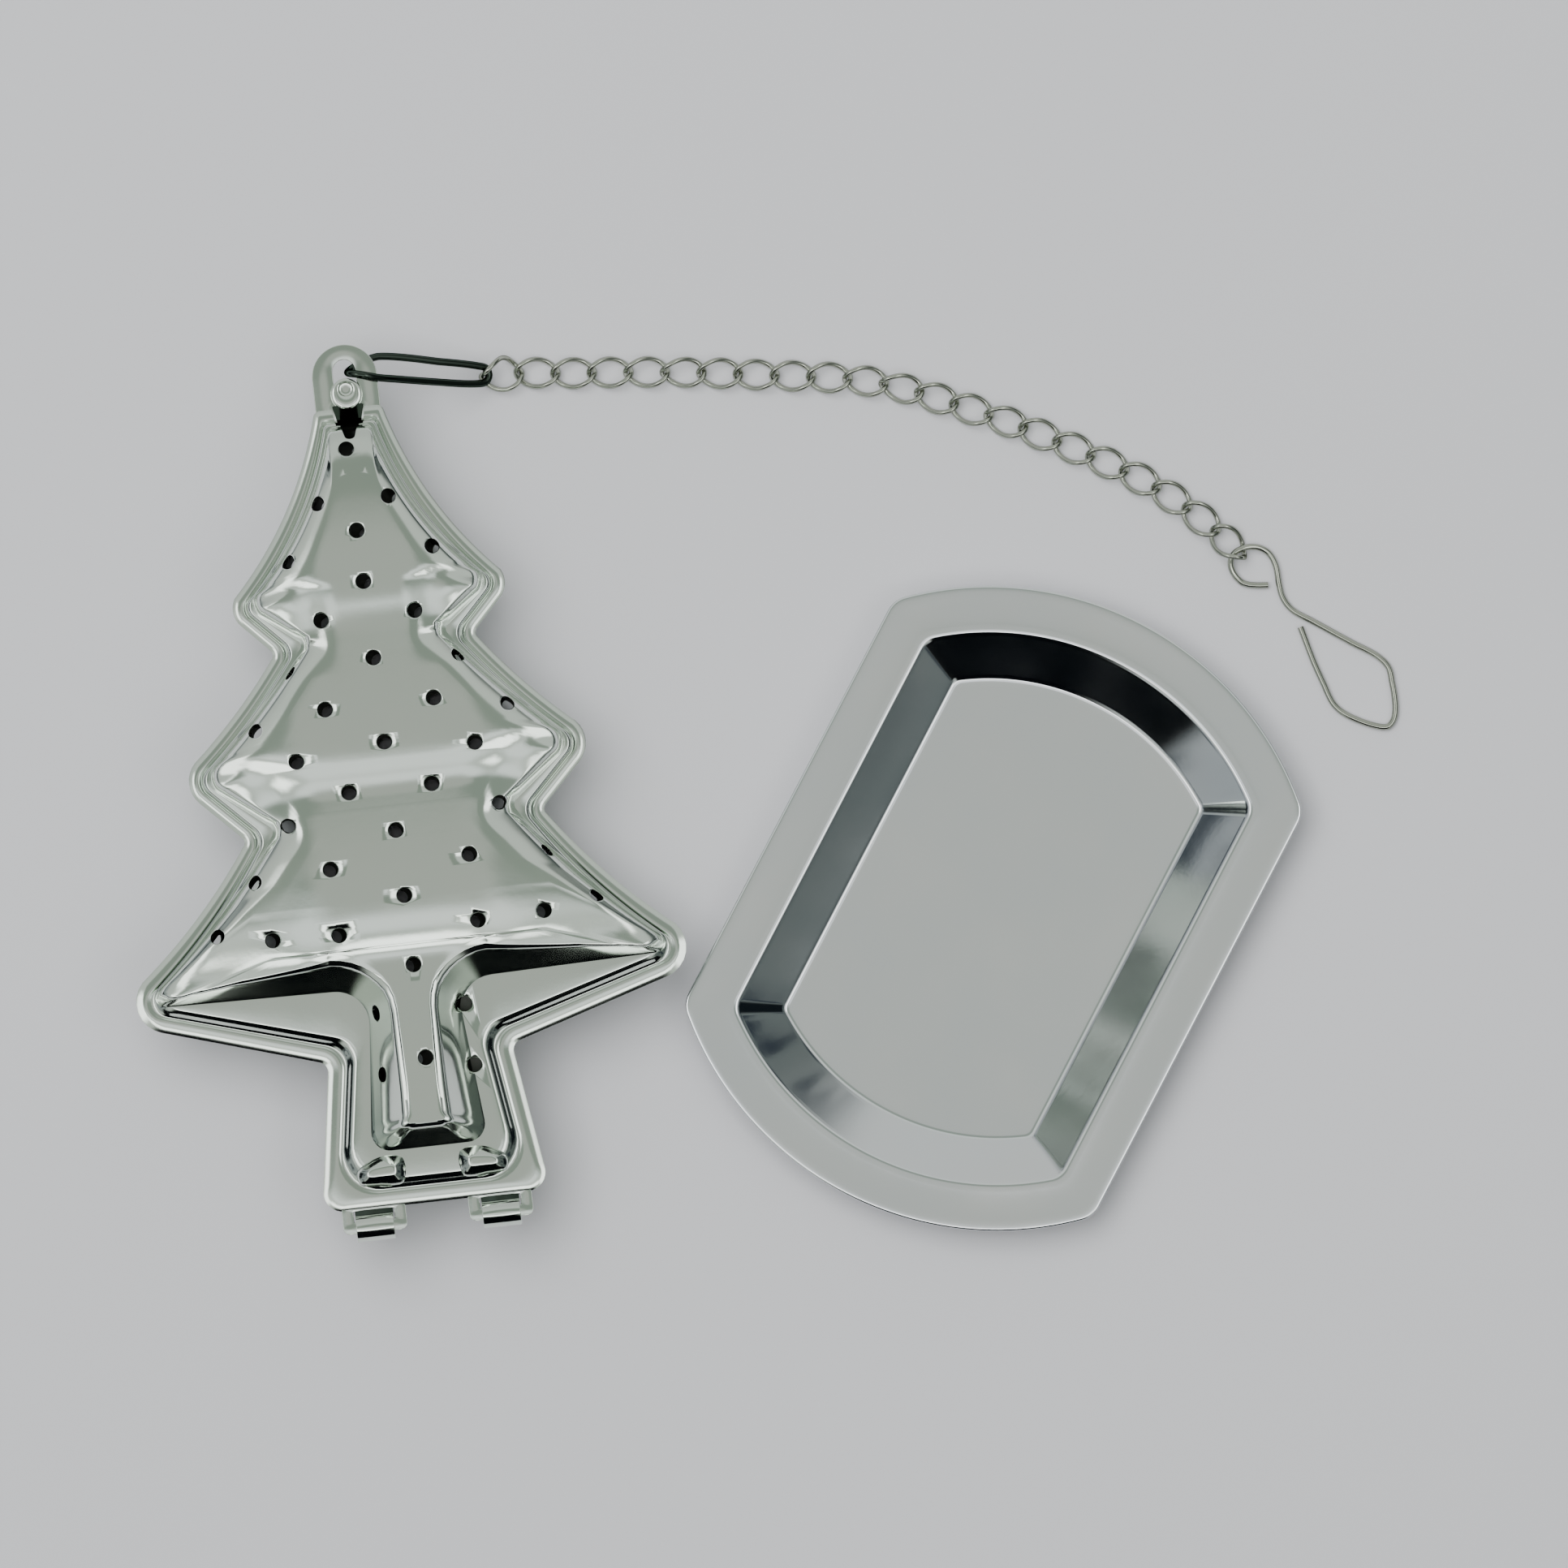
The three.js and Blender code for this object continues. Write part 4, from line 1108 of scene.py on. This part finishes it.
def bail_route():
    """One closed loop: a small eye around the disc's rim, and two long arms."""
    rim_half = (DISC_RADIUS - OPENING_HALF_WIDTH) / 2
    to_tip = bail_tip - bail_axis
    to_tip.y = 0
    over_rim = to_tip.normalized() * rim_half
    up = Vector((-to_tip.z, 0, to_tip.x)).normalized() * (rim_half + EYE_CLEARANCE)
    points = []
    eye = (eye_shares, over_rim, 2 * OPENING_HALF_WIDTH)
    arms = (arm_shares, to_tip, ARM_SPREAD)
    for table, step, spread in (eye, arms):
        for run, behind, lift in table:
            point = bail_axis + step * run + up * lift
            point.y = bail_tip.y + behind * spread
            points.append(point + disc_centre)
    return smooth_route(points, True, 10)


def chain_pieces():
    """The links one after the other; also where the last one ends, and which way it points."""
    joint = bail_tip + disc_centre
    lift = Vector((0, 0, (DRAWN_LINK_WIRE - LINK_WIRE) / 2))
    pieces = []
    for index in range(LINK_COUNT):
        heading = math.radians(link_headings_deg[index])
        dip = FIRST_DIP if index == 0 else 0
        turn = Matrix.Rotation(heading, 4, "Z") @ Matrix.Rotation(-dip, 4, "Y")
        ahead = turn @ Vector((1, 0, 0))
        if index == 0:
            middle = joint + ahead * (link_half_length - bail_overlap)
        else:
            middle = joint + ahead * link_half_pitch
            middle.z = heights[index]
        joint = middle + ahead * link_half_pitch
        route = [middle + lift + turn @ link_point(index, k / LINK_POINTS) for k in range(LINK_POINTS)]
        pieces.append(wire(f"link_wire_{index + 1:02d}", route, True, DRAWN_LINK_WIRE, 4))
    return pieces, joint, heading


bail = wire("bail_wire", bail_route(), True, BAIL_WIRE)
links, chain_end, last_heading = chain_pieces()
slack = 2 * LINK_PLAY
slack_x = slack * math.cos(last_heading)
slack_y = slack * math.sin(last_heading)
hook_start = Vector((chain_end.x - slack_x, chain_end.y - slack_y, 0))
hook_points = [
    hook_start + Vector((right * HOOK_SPAN, behind * HOOK_SPAN, HOOK_WIRE / 2 + lift * HOOK_WIRE))
    for right, behind, lift in hook_shares
]
hook = wire("hook_wire", smooth_route(hook_points, False, 8), False, DRAWN_HOOK_WIRE)


# Drip tray
TRAY_HALF_WIDTH = 23.8
TRAY_HALF_LENGTH = 33.1
TRAY_END_RADIUS = 34
TRAY_SHEET = 0.5
TRAY_TURN_DEG = -27.5
TRAY_CORNER_STEPS = 8
TRAY_END_STEPS = 48
TRAY_SIDE_STEPS = 12

# Distance in from the edge, height and corner radius, from the rim to the floor
tray_stations = [
    (0.045, 4.2, 2.7),
    (0.06, 4.31, 2.7),
    (0.16, 4.37, 2.7),
    (0.36, 4.395, 2.65),
    (1.2, 4.37, 2.6),
    (2.6, 4.35, 2.45),
    (4, 4.37, 2.3),
    (4.5, 4.395, 2.25),
    (4.75, 4.385, 2.2),
    (4.95, 4.33, 2.15),
    (5.12, 4.22, 2.1),
    (5.28, 4.06, 2.05),
    (9.1, 0.8, 1.25),
    (9.26, 0.66, 1.22),
    (9.42, 0.57, 1.2),
    (9.62, 0.515, 1.15),
    (9.85, 0.5, 1.1),
    (10.4, 0.5, 1),
]


def tray_ring(distance, corner):
    """The tray's outline moved in: two straight sides, two bulged ends and four round corners."""
    half_width = TRAY_HALF_WIDTH - distance
    end_radius = TRAY_END_RADIUS - distance
    end_centre = TRAY_HALF_LENGTH - distance - end_radius
    reach = end_radius - corner
    corner_x = half_width - corner
    corner_y = end_centre + math.sqrt(reach * reach - corner_x * corner_x)
    meet = math.atan2(corner_y - end_centre, corner_x)
    right = []
    for k in range(TRAY_CORNER_STEPS + 1):
        angle = meet * k / TRAY_CORNER_STEPS
        right.append(Vector((corner_x + corner * math.cos(angle), corner_y + corner * math.sin(angle))))
    end = []
    for k in range(1, TRAY_END_STEPS):
        angle = meet + (math.pi - 2 * meet) * k / TRAY_END_STEPS
        end.append(Vector((end_radius * math.cos(angle), end_centre + end_radius * math.sin(angle))))
    half = right + end + [Vector((-p.x, p.y)) for p in reversed(right)]
    ring = []
    for part in (half, [-p for p in half]):
        ring += part
        start, finish = part[-1], -part[0]
        ring += [start.lerp(finish, k / TRAY_SIDE_STEPS) for k in range(1, TRAY_SIDE_STEPS)]
    return ring


def tray_sheet():
    """The tray as one pressed sheet: rim, sloping walls and floor."""
    bm, verts = ringed_sheet([(tray_ring(d, c), z) for d, z, c in tray_stations])
    bm.faces.new(verts)
    face_up(bm)
    piece = finish_mesh(bm, "tray_sheet", Matrix.Rotation(math.radians(TRAY_TURN_DEG), 4, "Z"))
    add_thickness(piece, TRAY_SHEET, 0.08)
    return piece


tray = tray_sheet()


# Floor: pale matt paper, which takes the soft shadows and mirrors nothing
FLOOR_RADIUS = 2500
FLOOR_DROP = 0.01


def floor():
    """A wide pale sweep just under the part."""
    bm = bmesh.new()
    bmesh.ops.create_circle(bm, cap_ends=True, radius=FLOOR_RADIUS, segments=64)
    piece = finish_mesh(bm, "floor", Matrix.Translation((0, 0, -FLOOR_DROP)))
    material = bpy.data.materials.new("pale_paper_sweep")
    material.use_nodes = True
    tree = material.node_tree
    shader = tree.nodes["Principled BSDF"]
    shader.inputs["Base Color"].default_value = linear("#D8D8DC")
    shader.inputs["Roughness"].default_value = 0.9
    piece.data.materials.append(material)


floor()


# The studio around the table: colour, strength, and the angles it holds for. "lean" is the angle from
# straight up in degrees. "back" and "right" run from -1 to 1 around the table, and "beside" is "right"
# without its sign.
CEILING = "#C3C6C1"
screens = [
    ("#98A299", 1, [("lean", 4, 9)]),
    ("#DEE3DF", 1, [("lean", 19, 26)]),
    ("#D4D7D5", 1, [("lean", 36, 50)]),
    ("#F0F2F4", 1.35, [("lean", 3, 9), ("back", 0.1, -0.6)]),
    ("#D4D9D4", 1, [("lean", 12, 18), ("back", -0.1, -0.6)]),
    ("#FFFFFF", 2.8, [("lean", 21, 26), ("lean", 39, 34), ("back", 0.45, 0.15), ("back", -0.75, -0.5)]),
    ("#FFFFFF", 3, [("lean", 17, 21), ("lean", 29, 26), ("back", -0.5, -0.75)]),
    ("#A0A6A8", 1, [("lean", 50, 62), ("right", -0.5, -0.85)]),
    ("#666D6B", 1, [("lean", 44, 56), ("right", 0.45, 0.8)]),
    ("#2C333C", 1, [("lean", 55, 66), ("beside", 0.5, 0.8), ("clutter", 0.52, 0.6)]),
    ("#12181C", 1, [("lean", 69, 75), ("beside", 0.93, 0.98)]),
    ("#05070A", 1, [("lean", 68, 74), ("back", -0.62, -0.7)]),
    ("#05070A", 1, [("lean", 28, 32), ("back", -0.8, -0.93)]),
]


def studio():
    """A grey ceiling over the camera, a white screen around the sides and front, a dark room beyond it."""
    world = bpy.data.worlds.new("studio")
    bpy.context.scene.world = world
    world.use_nodes = True
    tree = world.node_tree
    tree.nodes.clear()
    ahead = add(tree, "ShaderNodeTexCoord").outputs["Generated"]
    parts = add(tree, "ShaderNodeSeparateXYZ", {"Vector": ahead})
    steep = add(tree, "ShaderNodeMath", {0: parts.outputs["Z"]}, operation="ARCCOSINE")
    lean = add(tree, "ShaderNodeMath", {0: steep.outputs[0]}, operation="DEGREES")
    level = add(tree, "ShaderNodeVectorMath", {0: ahead}, operation="MULTIPLY")
    level.inputs[1].default_value = (1, 1, 0)
    compass = add(tree, "ShaderNodeVectorMath", {0: level.outputs[0]}, operation="NORMALIZE")
    sides = add(tree, "ShaderNodeSeparateXYZ", {"Vector": compass.outputs[0]})
    beside = add(tree, "ShaderNodeMath", {0: sides.outputs["X"]}, operation="ABSOLUTE")
    clutter = add(tree, "ShaderNodeTexNoise", {"Vector": ahead}, Scale=9.0, Detail=3.0)
    places = {
        "lean": lean.outputs[0],
        "back": sides.outputs["Y"],
        "right": sides.outputs["X"],
        "beside": beside.outputs[0],
        "clutter": clutter.outputs["Fac"],
    }
    colour = add(tree, "ShaderNodeRGB").outputs[0]
    colour.default_value = linear(CEILING)
    for code, strength, windows in screens:
        amount = None
        for place, start, end in windows:
            part = add(tree, "ShaderNodeMapRange", {"Value": places[place]}, From_Min=start,
                       From_Max=end, interpolation_type="SMOOTHSTEP").outputs["Result"]
            if amount:
                part = add(tree, "ShaderNodeMath", {0: amount, 1: part}, operation="MULTIPLY").outputs[0]
            amount = part
        shade = [c * strength for c in linear(code)[:3]] + [1]
        colour = add(tree, "ShaderNodeMix", {"Factor": amount, "A": colour}, data_type="RGBA",
                     B=shade).outputs["Result"]
    background = add(tree, "ShaderNodeBackground", {"Color": colour}, Strength=1.0)
    add(tree, "ShaderNodeOutputWorld", {"Surface": background.outputs["Background"]})


LAMP_SIZE = 1
LAMP_WATTS = 10
LAMP_PLACE = Vector((-0.35, 0.3, 1.1))


def soft_lamp():
    """A large soft lamp over the table, a little left and back, for the floor and the soft shadows."""
    lamp = bpy.data.lights.new("soft_lamp", "AREA")
    lamp.shape = "DISK"
    lamp.size = LAMP_SIZE
    lamp.energy = LAMP_WATTS
    stand = bpy.data.objects.new("soft_lamp", lamp)
    bpy.context.scene.collection.objects.link(stand)
    stand.location = LAMP_PLACE
    stand.rotation_euler = (-LAMP_PLACE).to_track_quat("-Z", "Y").to_euler()
    stand.visible_glossy = False


studio()
soft_lamp()


# Each piece takes its finish, rides on its body and stands for its CAD node
upper_pieces += upper_gussets
lower_pieces += lower_gussets
dressing = [
    (upper_pieces, shell_steel, "lid", "upper_shell", "shell_steel"),
    (lower_pieces, shell_steel, "infuser", "lower_shell", "shell_steel"),
    ([bail], dark_steel_painted_shade, "bail", "wire_bail", "wire_steel"),
    ([hook], wire_steel, "hook", "hanging_hook", "wire_steel"),
    ([tray], tray_steel, "tray", "drip_tray", "tray_steel"),
]
for number, link in enumerate(links, 1):
    dressing.append(([link], wire_steel, f"link_{number:02d}", f"chain_link_{number:02d}", "wire_steel"))
for pieces, material, body, node, slot in dressing:
    for piece in pieces:
        if not piece.data.materials:
            piece.data.materials.append(material)
        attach(piece, body)
        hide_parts(node)

bpy.context.view_layer.update()
